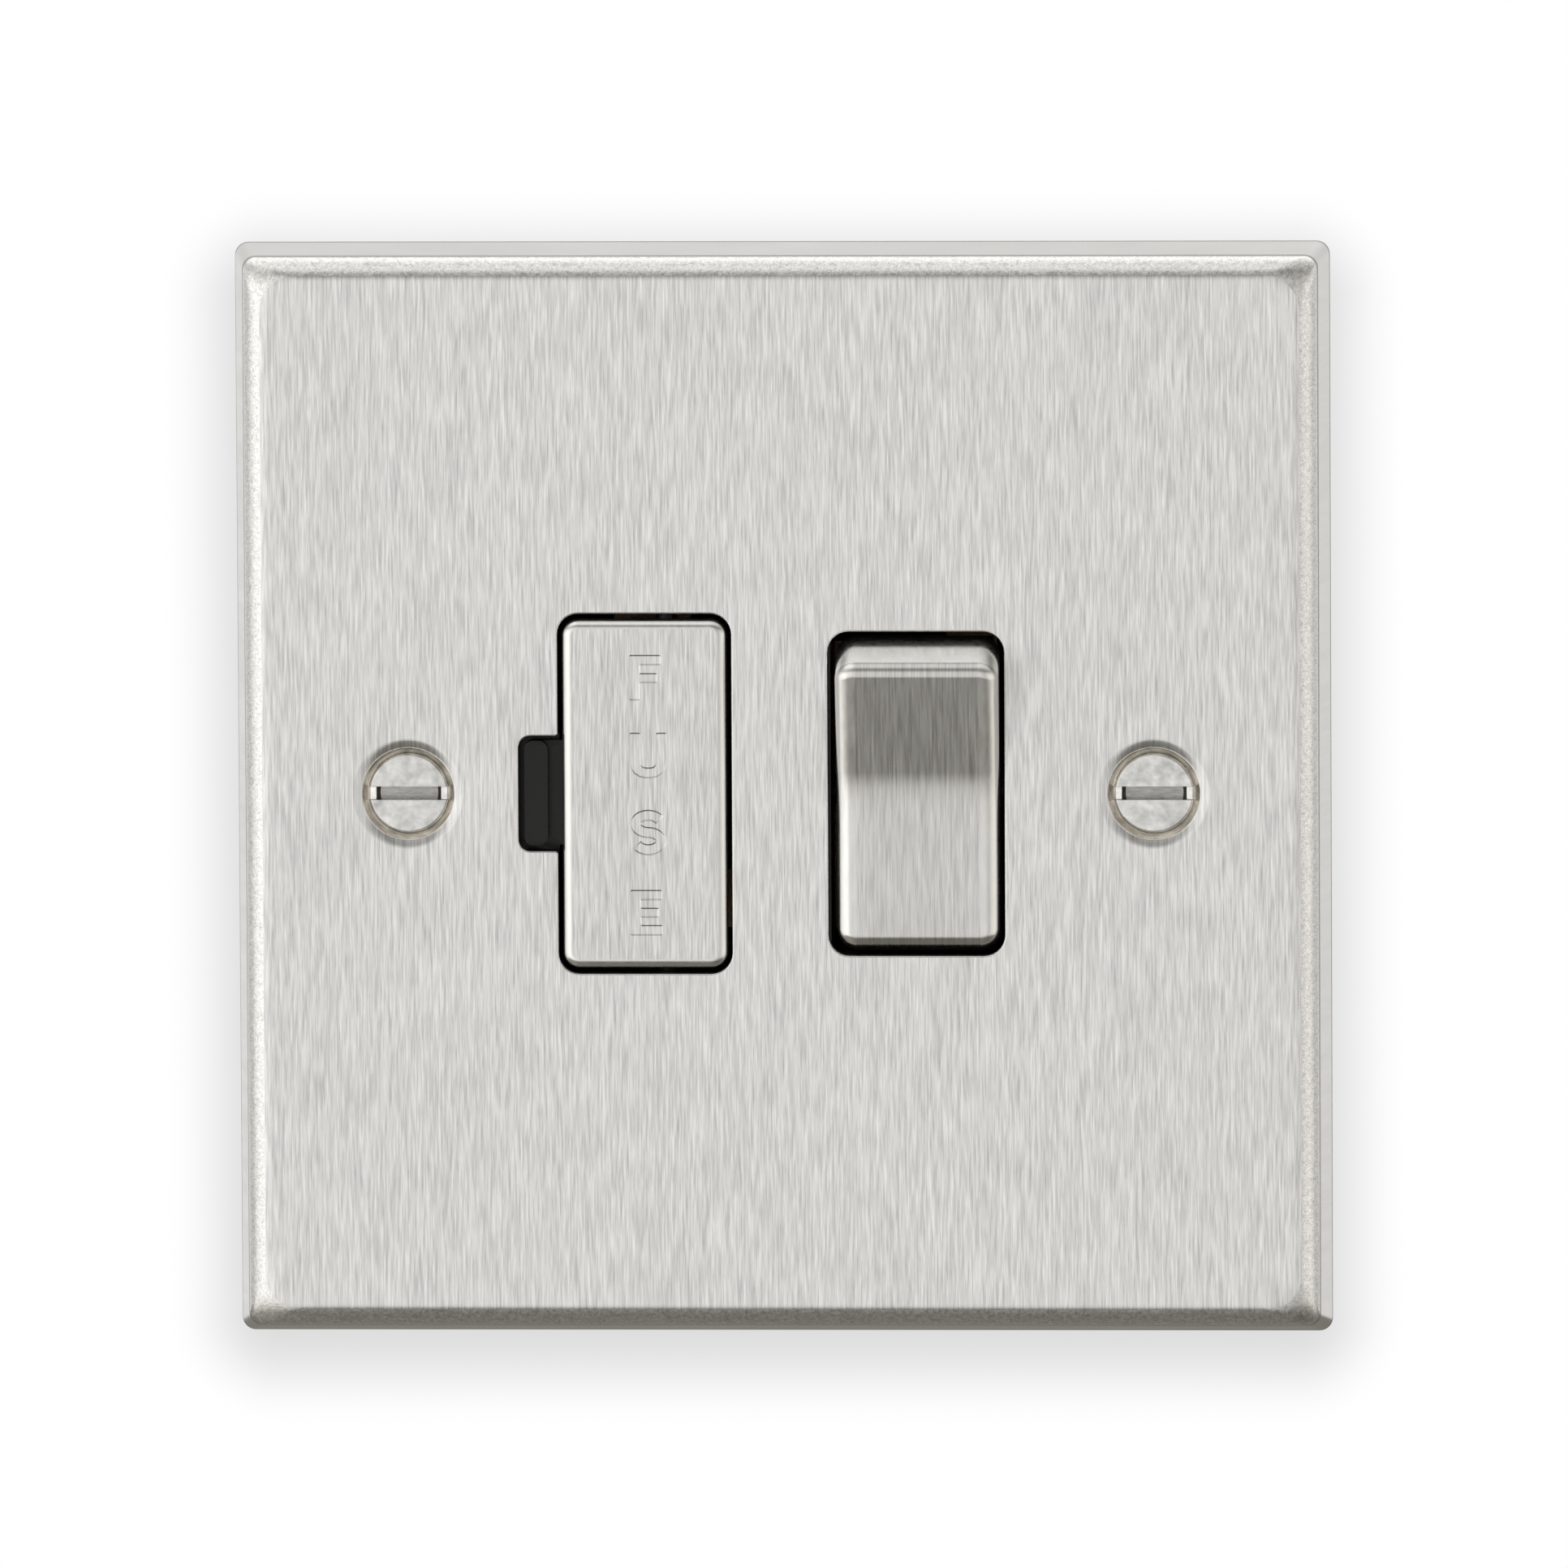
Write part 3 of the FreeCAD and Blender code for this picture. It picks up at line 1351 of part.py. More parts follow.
def make_rear_housing():
    """The box behind the flange, with its posts, rests and windows."""
    deep = (INSERT_REAR, "housing_rear")
    shell = slab(
        "HousingShell",
        either_side("housing_half_width"),
        deep,
        either_side("housing_half_height"),
        "housing_corner",
    )
    room = slab(
        "HousingRoom",
        either_side("housing_half_width - housing_wall"),
        (f"{INSERT_REAR} - overrun", FLOOR),
        either_side("housing_half_height - housing_wall"),
        "housing_corner / 4",
    )
    hollow = cut("HousingHollow", shell, [room])
    grown = [hollow]
    removed = []
    for x, z in POSTS:
        name = f"HousingPost{len(grown)}"
        grown.append(
            block(name, about(x, "post_half"), (INSERT_REAR, FLOOR), about(z, "post_half"))
        )
        bore = (f"{INSERT_REAR} - overrun", "housing_rear + overrun")
        hole = rod(name + "Hole", "Y", (x, z), bore, "housing_screw_radius + running_gap")
        removed.append(hole)
    # Ribs from the floor that the straps and the link lie on.
    strap_rests = [
        (about(POLE_LIVE, "support_width / 2"), either_side("support_half_height")),
        (about(POLE_NEUTRAL, "support_width / 2"), either_side("support_half_height")),
        (about("column_earth", "support_width / 2"), either_side("tip_place")),
    ]
    strip_rests = [
        (about(POLE_NEUTRAL, "tip_half"), about("tip_place + tip_half", "tip_half")),
        (about(POLE_LIVE, "tip_half"), about("tip_place", "tip_half")),
        (about(FUSE_X, "tip_half"), about(f"-({FUSE_HALF} - clip_length / 2)", "tip_half")),
        (about(FUSE_X, "tip_half"), about(f"{FUSE_HALF} - clip_length / 2", "tip_half")),
    ]
    for front, rests in ((STRAP_REAR, strap_rests), (FIXED_REAR, strip_rests)):
        for x, z in rests:
            name = f"HousingRest{len(grown)}"
            grown.append(block(name, x, (front, f"{FLOOR} + housing_wall / 2"), z))
    for column, side in TERMINALS.values():
        window = block(
            f"Window{len(removed)}",
            about(column, "entry_half"),
            (f"{WIRE_Y} - entry_half", "housing_rear + overrun"),
            to_end(side, f"{CLAMP_Z} - entry_half", "housing_half_height + overrun"),
        )
        removed.append(window)
    clip_rear = f"{INSERT_REAR} + running_gap + strip_thickness"
    removed.append(
        block(
            "EarthSlot",
            about("column_earth", "earth_width / 2 + passing_gap"),
            (f"{INSERT_REAR} - overrun", f"{clip_rear} + passing_gap"),
            ("housing_half_height - housing_wall - overrun", "housing_half_height + overrun"),
        )
    )
    piece(cut("RearHousing", joined("HousingSolid", grown), removed), "rear_housing")


def make_housing_screws():
    """Screws through the corner posts into the flange."""
    screws = []
    for x, z in POSTS:
        name = f"HousingScrew{len(screws) + 1}"
        span = (f"{INSERT_REAR} - screw_bite", "housing_rear + running_gap")
        shank = rod(name + "Shank", "Y", (x, z), span, "housing_screw_radius")
        head_span = ("housing_rear", "housing_rear + housing_head_height")
        head = rod(name + "Head", "Y", (x, z), head_span, "housing_head_radius")
        screws.append(joined(name, [shank, head]))
    piece(carried("HousingScrews", screws), "housing_screws")


def check_document():
    """Stop before anything is written if an object failed or is not sound."""
    doc.recompute()
    for thing in doc.Objects:
        state = set(thing.State)
        if state & {"Invalid", "Error"}:
            raise RuntimeError(f"{thing.Label} failed: {sorted(state)}")
    for thing in pieces:
        shape = thing.Shape
        if shape.isNull() or not shape.isValid() or not shape.Solids:
            raise RuntimeError(f"{thing.Label} is not a sound solid")


def write_parts():
    """Write one file for each sub-part."""
    os.makedirs("parts", exist_ok=True)
    for thing in pieces:
        thing.Shape.exportStep(f"parts/{thing.Label}.step")
        box = thing.Shape.BoundBox
        print(f"{thing.Label}: {thing.Shape.Volume:.1f} mm3, Y {box.YMin:.2f} to {box.YMax:.2f}")


fill_sheet()
make_faceplate()
make_fixing_screws()
make_fuse_cap()
make_fuse_carrier()
make_fuse()
make_rocker_cap()
make_rocker()
make_plungers()
make_moving_contacts()
make_contact_supports()
make_fixed_contacts()
make_fuse_contacts()
make_terminals()
make_earth_parts()
make_front_insert()
make_stud_nuts()
make_rear_housing()
make_housing_screws()
check_document()
write_parts()
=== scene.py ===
"""Looks of the fused connection unit: its finishes, fine meshes, studio and camera.

Sizes are in millimetres in the unit's own frame: +Z up the wall, +X to the right of
someone facing it, and the front towards -Y. Meshes are scaled to metres when built.
"""

import logging
import math
from collections.abc import Iterable, Sequence
from dataclasses import dataclass
from enum import Enum

import bmesh
import bpy
from mathutils import Matrix, Vector
from mathutils.geometry import tessellate_polygon

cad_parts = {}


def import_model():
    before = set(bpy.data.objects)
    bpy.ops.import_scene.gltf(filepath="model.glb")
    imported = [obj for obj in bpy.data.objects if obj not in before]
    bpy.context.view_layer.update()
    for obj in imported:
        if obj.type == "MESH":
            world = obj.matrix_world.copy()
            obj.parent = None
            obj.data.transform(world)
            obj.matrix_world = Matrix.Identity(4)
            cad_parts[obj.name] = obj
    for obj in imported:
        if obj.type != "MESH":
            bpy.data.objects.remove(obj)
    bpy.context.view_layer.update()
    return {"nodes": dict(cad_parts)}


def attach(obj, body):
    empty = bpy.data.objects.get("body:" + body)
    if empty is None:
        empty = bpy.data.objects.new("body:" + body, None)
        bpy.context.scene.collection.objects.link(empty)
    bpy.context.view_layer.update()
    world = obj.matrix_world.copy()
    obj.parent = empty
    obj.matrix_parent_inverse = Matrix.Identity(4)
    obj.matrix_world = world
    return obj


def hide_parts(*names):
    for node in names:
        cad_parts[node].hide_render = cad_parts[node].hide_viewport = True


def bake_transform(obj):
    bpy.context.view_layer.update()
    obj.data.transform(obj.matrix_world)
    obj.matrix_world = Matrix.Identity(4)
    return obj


LOG = logging.getLogger("fused_unit")

MM = 0.001
PHOTO_SIDE = 1932
FINISH_PREFIX = "finish_"
GRAIN_MAP = "grain"
MAP_SIZE = 0.1
# The grain's map leans with the depth, so that the walls have a place in it too.
MAP_LEAN = (0.31, -0.27)
# A ramp holds colours up to 1, so those of the surround are divided by this.
WORLD_TOP = 2.0
# The part of a noise between its usual lowest and highest values.
NOISE_SPAN = (0.3, 0.7)
WELD_REACH = 0.002
EASED_TURN = 38.0
FIXING_X = 30.15
STUDS = ((14.0, 31.25), (-14.0, -31.25))

Flat = tuple[float, float]
Corner = tuple[float, float, float]
Place = tuple[float, float, float]
Colour = tuple[float, float, float]
Stops = tuple[tuple[float, Colour], ...]
Object = bpy.types.Object
Socket = bpy.types.NodeSocket
Node = bpy.types.Node
Loops = tuple[list[int], list[int]]


# Finishes


class Nodes:
    """Adds nodes to one tree and feeds their sockets."""

    def __init__(self, tree: bpy.types.NodeTree) -> None:
        """Start with an empty tree."""
        self.tree = tree
        tree.nodes.clear()

    def add(self, kind: str, settings: dict[str, str] | None = None, **inputs: object) -> Node:
        """Add a node.

        Args:
            kind: the node's type, without the words that all of them start with.
            settings: values of the node's own properties.
            inputs: values or sources of its sockets, as in fill.

        Returns:
            The node.
        """
        node = self.tree.nodes.new("ShaderNode" + kind)
        for key, value in (settings or {}).items():
            setattr(node, key, value)
        self.fill(node, **inputs)
        return node

    def fill(self, node: Node, **inputs: object) -> None:
        """Feed sockets by name, with underscores for spaces, or by number, such as i0."""
        for key, value in inputs.items():
            name = int(key[1:]) if key[1:].isdigit() else key.replace("_", " ")
            self.feed(node.inputs[name], value)

    def feed(self, socket: Socket, value: object) -> None:
        """Give a socket a value, or link it to a node or an output."""
        if isinstance(value, Node):
            value = value.outputs[0]
        if isinstance(value, Socket):
            self.tree.links.new(value, socket)
        else:
            socket.default_value = (*value, 1.0) if socket.type == "RGBA" else value

    def math(self, operation: str, first: object, second: object = 0.0) -> Node:
        """Add a node that works on one or two numbers."""
        return self.add("Math", {"operation": operation}, i0=first, i1=second)

    def vector(self, operation: str, first: object, second: object = (0.0, 0.0, 0.0)) -> Node:
        """Add a node that works on one or two vectors."""
        return self.add("VectorMath", {"operation": operation}, i0=first, i1=second)

    def remap(self, source: object, to: Flat) -> Node:
        """Stretch the middle of a pattern to a range, held at both ends."""
        node = self.add("MapRange", Value=source, To_Min=to[0], To_Max=to[1])
        self.fill(node, From_Min=NOISE_SPAN[0], From_Max=NOISE_SPAN[1])
        return node

    def blend(self, share: object, first: object, second: object, kind: str = "RGBA") -> Socket:
        """Mix two colours, or two vectors, and give the output."""
        node = self.add("Mix", {"data_type": kind}, Factor=share)
        ends = [s for s in node.inputs if s.type == kind and s.name in ("A", "B")]
        for end, value in zip(ends, (first, second)):
            self.feed(end, value)
        return next(s for s in node.outputs if s.type == kind)


class Shader(Nodes):
    """The node tree of one material."""

    def __init__(self, name: str) -> None:
        """Start a material with a bare surface."""
        self.material = bpy.data.materials.new(FINISH_PREFIX + name)
        self.material.use_nodes = True
        super().__init__(self.material.node_tree)
        self.surface = self.add("BsdfPrincipled")
        self.output = self.add("OutputMaterial", Surface=self.surface)
        self.place = self.add("TexCoord").outputs["Object"]

    def paint(self, **inputs: object) -> bpy.types.Material:
        """Feed the surface and give the material."""
        self.fill(self.surface, **inputs)
        return self.material

    def noise(self, size: Iterable[float], detail: float = 2.0, seed: float = 0.0) -> Socket:
        """Noise whose grains have a size in millimetres along each axis.

        Args:
            size: the grain's size along X, Y and Z.
            detail: how many finer layers are added.
            seed: moves the pattern to another place.

        Returns:
            The output with the noise, round 0.5.
        """
        scale = tuple(1.0 / (s * MM) for s in size)
        mapped = self.add("Mapping", Vector=self.place, Scale=scale, Location=(seed,) * 3)
        return self.add("TexNoise", Vector=mapped, Scale=1.0, Detail=detail).outputs["Fac"]

    def bump(self, height: object, depth: float) -> Node:
        """Tilt the surface by a height pattern of a depth in millimetres."""
        return self.add("Bump", Height=height, Distance=depth * MM)


@dataclass(frozen=True)
class Finish:
    """One finish; each kind builds its own material once."""

    name: str
    colour: Colour
    roughness: float

    def material(self) -> bpy.types.Material:
        """The finish's material, built the first time that it is asked for."""
        return bpy.data.materials.get(FINISH_PREFIX + self.name) or self.make()

    def make(self) -> bpy.types.Material:
        """Build the material."""
        raise NotImplementedError

    def tones(self, shader: Shader, source: object, amount: float) -> Socket:
        """The finish's colour, lighter and darker by a pattern.

        Args:
            shader: the material being built.
            source: the pattern, round 0.5.
            amount: the share by which the colour goes up and down.

        Returns:
            The output with the colour.
        """
        dark = tuple(c * (1 - amount) for c in self.colour)
        light = tuple(min(c * (1 + amount), 1.0) for c in self.colour)
        return shader.blend(shader.remap(source, (0.0, 1.0)), dark, light)

    def gloss(self, shader: Shader, source: object, amount: float) -> Node:
        """The finish's roughness, higher and lower by a pattern and a share."""
        return shader.remap(source, tuple(self.roughness * (1 + s * amount) for s in (-1, 1)))


@dataclass(frozen=True)
class Grain(Finish):
    """Metal whose grain has a direction: brushed, drawn, rolled, blasted or cast."""

    grain: Place
    tone: float
    depth: float
    coarse: float = 2.4
    stretch: float = 0.0
    fine_share: float = 0.6

    def make(self) -> bpy.types.Material:
        """Build the material from a fine and a coarse layer of grain."""
        shader = Shader(self.name)
        fine = shader.math("MULTIPLY", shader.noise(self.grain), self.fine_share)
        broad = shader.noise([g * self.coarse for g in self.grain], seed=7.0)
        rest = shader.math("MULTIPLY", broad, 1 - self.fine_share)
        mixed = shader.math("ADD", fine, rest)
        if self.stretch:
            along = shader.add("Tangent", {"direction_type": "UV_MAP", "uv_map": GRAIN_MAP})
            shader.paint(Anisotropic=self.stretch, Tangent=along)
        return shader.paint(
            Base_Color=self.tones(shader, mixed, self.tone),
            Metallic=1.0,
            Roughness=self.gloss(shader, broad, 0.15),
            Normal=shader.bump(mixed, self.depth),
        )


@dataclass(frozen=True)
class Moulded(Finish):
    """Plastic or ceramic with a fine skin."""

    skin: float
    depth: float
    tone: float
    specular: float = 0.5
    flow: Place = (6.0, 6.0, 14.0)

    def make(self) -> bpy.types.Material:
        """Build the material from a fine skin and faint flow marks."""
        shader = Shader(self.name)
        skin = shader.noise((self.skin,) * 3, 3.0)
        flow = shader.noise(self.flow, seed=3.0)
        return shader.paint(
            Base_Color=self.tones(shader, flow, self.tone),
            Roughness=self.gloss(shader, skin, 0.2),
            Specular_IOR_Level=self.specular,
            Normal=shader.bump(skin, self.depth),
        )


class Finishes(Enum):
    """Every finish on the unit."""

    PLATE_FACE = Grain(
        "plate_brushed", (0.568, 0.563, 0.551), 0.35, (0.12, 2.4, 2.4), 0.30, 0.0025, 1.35, 0.9
    )
    PLATE_BAND = Grain("plate_blasted", (0.61, 0.60, 0.58), 0.30, (0.14, 0.14, 0.14), 0.34, 0.014)
    # Painted shade: a dark strip along the fold's crease and along the rim.
    CREASE_SHADE = Grain("plate_crease_shade", (0.28, 0.27, 0.25), 0.40, (0.2, 0.2, 0.2), 0.2, 0.004)
    PLATE_WALL = Grain("plate_wall", (0.56, 0.545, 0.52), 0.24, (5.0, 5.0, 0.5), 0.04, 0.002)
    PLATE_REAR = Grain("plate_rear", (0.50, 0.50, 0.49), 0.36, (0.5, 0.5, 9.0), 0.08, 0.004)
    CUT_EDGE = Grain("plate_cut_edge", (0.56, 0.55, 0.53), 0.28, (0.3, 0.08, 0.3), 0.12, 0.004)
    SEAT = Grain("seat_nickel", (0.56, 0.515, 0.45), 0.24, (0.7, 0.25, 0.7), 0.34, 0.012)
    # Painted shade: the screw hole's wall is coloured nearly black for the shade deep in it.
    HOLE_SHADE = Grain("hole_wall_shade", (0.07, 0.062, 0.052), 0.45, (0.3, 0.3, 0.3), 0.20, 0.006)
    CAP_FACE = Grain(
        "cap_brushed", (0.548, 0.541, 0.525), 0.33, (0.12, 2.4, 2.4), 0.32, 0.0025, 1.35, 0.9
    )
    ROCKER_FACE = Grain(
        "rocker_brushed", (0.49, 0.483, 0.466), 0.29, (0.12, 3.0, 3.0), 0.26, 0.0015, 1.35, 0.9
    )
    CAP_EDGE = Grain("cap_edge", (0.62, 0.61, 0.585), 0.24, (0.3, 0.3, 1.6), 0.06, 0.002)
    # Painted highlight: the rocker's curved ends are coloured far paler than its face, though the
    # skin is one sheet.
    CAP_END = Grain("cap_end_highlight", (0.92, 0.91, 0.885), 0.20, (0.6, 0.15, 0.15), 0.06, 0.001)
    SCREW_HEAD = Grain("screw_nickel", (0.585, 0.58, 0.56), 0.26, (0.8, 0.8, 0.7), 0.30, 0.03)
    # Painted shade: the slot's floor is coloured darker than the head for the shade in the slot.
    SLOT_FLOOR_SHADE = Grain("screw_slot_shade", (0.34, 0.33, 0.315), 0.34, (0.7, 0.3, 0.2), 0.30, 0.03)
    # Painted highlight: the burrs at the slot's mouths are coloured far paler than the head.
    SLOT_MOUTH_HIGHLIGHT = Grain("screw_burr_highlight", (0.80, 0.79, 0.765), 0.34, (0.4, 0.4, 0.4), 0.24, 0.02)
    SCREW_THREAD = Grain("screw_thread", (0.58, 0.56, 0.52), 0.30, (0.3, 0.8, 0.3), 0.12, 0.006)
    BLACK = Moulded("black_moulding", (0.006, 0.0057, 0.005), 0.34, 0.10, 0.004, 0.3, 0.26)
    HOUSING = Moulded("housing_moulding", (0.016, 0.0155, 0.0145), 0.50, 0.16, 0.006, 0.3, 0.45)
    NYLON = Moulded("white_nylon", (0.78, 0.77, 0.71), 0.32, 0.3, 0.003, 0.04)
    CERAMIC = Moulded("fuse_ceramic", (0.80, 0.78, 0.72), 0.55, 0.08, 0.008, 0.05, 0.35)
    SPRING = Grain("spring_wire", (0.50, 0.50, 0.50), 0.22, (0.05, 0.05, 0.05), 0.10, 0.003)
    FUSE_CAP = Grain("fuse_nickel", (0.66, 0.645, 0.61), 0.22, (0.7, 0.7, 0.1), 0.06, 0.003)
    COPPER = Grain("contact_copper", (0.34, 0.215, 0.135), 0.38, (0.25, 0.25, 2.0), 0.14, 0.005)
    SILVER = Grain("contact_silver", (0.84, 0.83, 0.80), 0.28, (0.2, 0.2, 0.2), 0.06, 0.005)
    BRASS = Grain("terminal_brass", (0.74, 0.56, 0.27), 0.27, (1.6, 0.09, 1.6), 0.10, 0.004)
    CLAMP = Grain("terminal_screw", (0.62, 0.62, 0.56), 0.28, (0.25, 0.6, 0.25), 0.12, 0.005)
    FASTENER = Grain("fastener_zinc", (0.60, 0.61, 0.61), 0.30, (0.3, 0.3, 0.3), 0.10, 0.005)

    def material(self) -> bpy.types.Material:
        """The material of this finish."""
        return self.value.material()


# Outlines


def rounded_loop(corners: Sequence[Corner], grow: float = 0.0, steps: int = 7) -> list[Flat]:
    """Walk round a polygon whose corners are eased by arcs.

    Args:
        corners: x, z and radius of each corner, anticlockwise seen from the front.
        grow: distance by which the whole outline is moved outwards.
        steps: straight pieces in each corner's arc.

    Returns:
        The points of the closed outline, the same number for every grow.
    """
    points: list[Flat] = []
    count = len(corners)
    for i, (x, z, radius) in enumerate(corners):
        before = Vector((x - corners[i - 1][0], z - corners[i - 1][1])).normalized()
        after_corner = corners[(i + 1) % count]
        after = Vector((after_corner[0] - x, after_corner[1] - z)).normalized()
        out_before = Vector((before.y, -before.x))
        out_after = Vector((after.y, -after.x))
        corner = Vector((x, z))
        corner += (out_before + out_after) * (grow / (1 + out_before.dot(out_after)))
        turn = math.atan2(before.x * after.y - before.y * after.x, before.dot(after))
        side = 1.0 if turn > 0 else -1.0
        bend = max(radius + side * grow, 0.01)
        start = corner - before * (bend * math.tan(abs(turn) / 2))
        centre = start - out_before * (side * bend)
        arm = start - centre
        for k in range(steps + 1):
            angle = turn * k / steps
            c, s = math.cos(angle), math.sin(angle)
            points.append(
                (centre.x + arm.x * c - arm.y * s, centre.y + arm.x * s + arm.y * c)
            )
    return points


def box_corners(x: Flat, z: Flat, radius: float) -> list[Corner]:
    """Corners of a rectangle with one corner radius, for rounded_loop."""
    return [(x[a], z[b], radius) for a, b in ((0, 0), (1, 0), (1, 1), (0, 1))]


def spread(low: float, high: float, count: int) -> list[float]:
    """Evenly spaced numbers, both ends among them."""
    return [low + (high - low) * i / (count - 1) for i in range(count)]


def full_turn(count: int) -> list[float]:
    """Angles of a full turn."""
    return [2 * math.pi * i / count for i in range(count)]


def arc(centre: Flat, reach: Flat, angles: Iterable[float]) -> list[Flat]:
    """Points of an upright ellipse, half as wide and high as its reach says."""
    return [
        (centre[0] + reach[0] * math.cos(a), centre[1] + reach[1] * math.sin(a)) for a in angles
    ]


def stroke_loop(path: Sequence[Flat], half: float, grow: float) -> list[Flat]:
    """Outline of a pen stroke along a path, flat at both ends.

    Args:
        path: the middle of the stroke.
        half: half of the stroke's width.
        grow: distance by which the whole outline is moved outwards.

    Returns:
        The points of the closed outline, anticlockwise.
    """
    sides: tuple[list[Flat], list[Flat]] = ([], [])
    last = len(path) - 1
    for i, (x, z) in enumerate(path):
        ahead, behind = path[min(i + 1, last)], path[max(i - 1, 0)]
        along = Vector((ahead[0] - behind[0], ahead[1] - behind[1])).normalized()
        reach = {0: -grow, last: grow}.get(i, 0.0)
        x, z = x + along.x * reach, z + along.y * reach
        for side, way in zip(sides, (half + grow, -half - grow)):
            side.append((x + along.y * way, z - along.x * way))
    return sides[0] + sides[1][::-1]


# Drawing


class Draft:
    """Points and faces of one mesh piece while it is being drawn, in millimetres."""

    def __init__(self, finish: Finishes) -> None:
        """Start with nothing drawn, and with the finish of faces that name none."""
        self.finish = finish
        self.points: list[Vector] = []
        self.faces: list[list[int]] = []
        self.finishes: list[Finishes] = []
        self.flats: set[int] = set()

    def add(self, points: Iterable[Sequence[float]]) -> list[int]:
        """Add points and give their numbers."""
        start = len(self.points)
        self.points.extend(Vector(p) for p in points)
        return list(range(start, len(self.points)))

    def ring(self, loop: Iterable[Flat], y: float) -> list[int]:
        """Add an outline at one depth and give its numbers."""
        return self.add((x, y, z) for x, z in loop)

    def face(self, numbers: Sequence[int], finish: Finishes | None = None) -> None:
        """Add one face."""
        self.faces.append(list(numbers))
        self.finishes.append(finish or self.finish)

    def strip(
        self, first: Sequence[int], second: Sequence[int], finish: Finishes | None = None
    ) -> None:
        """Join two open rows of points by quads."""
        for a, b, c, d in zip(first, first[1:], second[1:], second):
            self.face((a, b, c, d), finish)

    def bridge(self, first: list[int], second: list[int], finish: Finishes | None = None) -> None:
        """Join two closed rings of points by quads."""
        self.strip(first + first[:1], second + second[:1], finish)

    def bridges(self, rings: Sequence[list[int]], finish: Finishes | None = None) -> None:
        """Join a row of closed rings one to the next."""
        for first, second in zip(rings, rings[1:]):
            self.bridge(first, second, finish)

    def solid(self, rings: Sequence[list[int]], finish: Finishes | None = None) -> None:
        """Join a row of closed rings and close both ends."""
        self.bridges(rings, finish)
        self.face(rings[0], finish)
        self.face(rings[-1], finish)

    def flat(
        self, outer: list[int], holes: list[list[int]], finish: Finishes | None = None
    ) -> None:
        """Fill the flat area between an outline and the holes in it.

        Args:
            outer: numbers of the outline.
            holes: numbers of each hole's outline.
            finish: the finish of the area.
        """
        loops = [outer] + holes
        numbers = [n for loop in loops for n in loop]
        for triangle in tessellate_polygon([[self.points[n] for n in loop] for loop in loops]):
            corners = [numbers[i] for i in triangle]
            if len(set(corners)) == 3:
                self.flats.add(len(self.faces))
                self.face(corners, finish)

    def keep_flats(self, mesh: bpy.types.Mesh) -> None:
        """Mark the border of every flat area crisp, so that it is shaded quite flat."""
        seen: dict[tuple[int, int], int] = {}
        for polygon in mesh.polygons:
            for key in polygon.edge_keys:
                seen[key] = seen.get(key, 0) + (polygon.index in self.flats)
        crisp = mesh.attributes["sharp_edge"].data
        for edge in mesh.edges:
            if seen.get(edge.key) == 1:
                crisp[edge.index].value = True

    @staticmethod
    def lay_map(mesh: bpy.types.Mesh) -> None:
        """Lay a map that runs along X and Z, for the direction of the grain."""
        layer = mesh.uv_layers.new(name=GRAIN_MAP)
        places = []
        for loop in mesh.loops:
            x, y, z = mesh.vertices[loop.vertex_index].co
            places += [(x + MAP_LEAN[0] * y) / MAP_SIZE, (z + MAP_LEAN[1] * y) / MAP_SIZE]
        layer.uv.foreach_set("vector", places)

    def build(self, name: str, sharp: float = 32.0) -> Object:
        """Make the mesh object.

        Args:
            name: the piece's name.
            sharp: edges that turn by more than this many degrees are kept crisp.

        Returns:
            The object, in metres and linked to the scene.
        """
        mesh = bpy.data.meshes.new(name)
        mesh.from_pydata([p * MM for p in self.points], [], self.faces)
        used = list(dict.fromkeys(self.finishes))
        for finish in used:
            mesh.materials.append(finish.material())
        mesh.polygons.foreach_set("material_index", [used.index(f) for f in self.finishes])
        work = bmesh.new()
        work.from_mesh(mesh)
        bmesh.ops.recalc_face_normals(work, faces=work.faces)
        work.to_mesh(mesh)
        work.free()
        mesh.shade_smooth()
        mesh.set_sharp_from_angle(angle=math.radians(sharp))
        self.keep_flats(mesh)
        self.lay_map(mesh)
        piece = bpy.data.objects.new(name, mesh)
        bpy.context.scene.collection.objects.link(piece)
        piece.modifiers.new("even_normals", "WEIGHTED_NORMAL").keep_sharp = True
        return piece


@dataclass(frozen=True)
class Axis:
    """A line that turned forms stand on."""

    origin: Place
    along: Place = (0.0, 1.0, 0.0)
    across: Place = (1.0, 0.0, 0.0)

    def point(self, radius: float, angle: float, step: float) -> Vector:
        """A point at a radius and angle round the line, a step along it."""
        along, across = Vector(self.along), Vector(self.across)
        aside = across * math.cos(angle) + across.cross(along) * math.sin(angle)
        return Vector(self.origin) + along * step + aside * radius

    def ring(self, draft: Draft, station: Flat, angles: Iterable[float]) -> list[int]:
        """Add a ring of points round the line, at a radius and a step."""
        return draft.add(self.point(station[0], a, station[1]) for a in angles)


@dataclass(frozen=True)
class Thread:
    """A fine screw thread cut into a shank."""

    radius: float
    pitch: float
    depth: float
    steps: int = 8

    def rings(
        self, draft: Draft, axis: Axis, span: Flat, angles: Sequence[float]
    ) -> list[list[int]]:
        """Add the rings of a threaded length.

        Args:
            draft: the piece being drawn.
            axis: the middle of the shank.
            span: where the thread starts and ends along the axis.
            angles: the angles of each ring's points.

        Returns:
            The rings, from the start of the span to its end.
        """
        count = max(int(abs(span[1] - span[0]) / self.pitch * self.steps), 2)
        rings = []
        for i, step in enumerate(spread(*span, count + 1)):
            fade = min(1.0, i / self.steps, (count - i) / self.steps)
            row = []
            for angle in angles:
                turn = (step / self.pitch + angle / (2 * math.pi)) % 1.0
                cut = self.depth * fade * (1 - abs(2 * turn - 1)) ** 0.8
                row.append(axis.point(self.radius - cut, angle, step))
            rings.append(draft.add(row))
        return rings


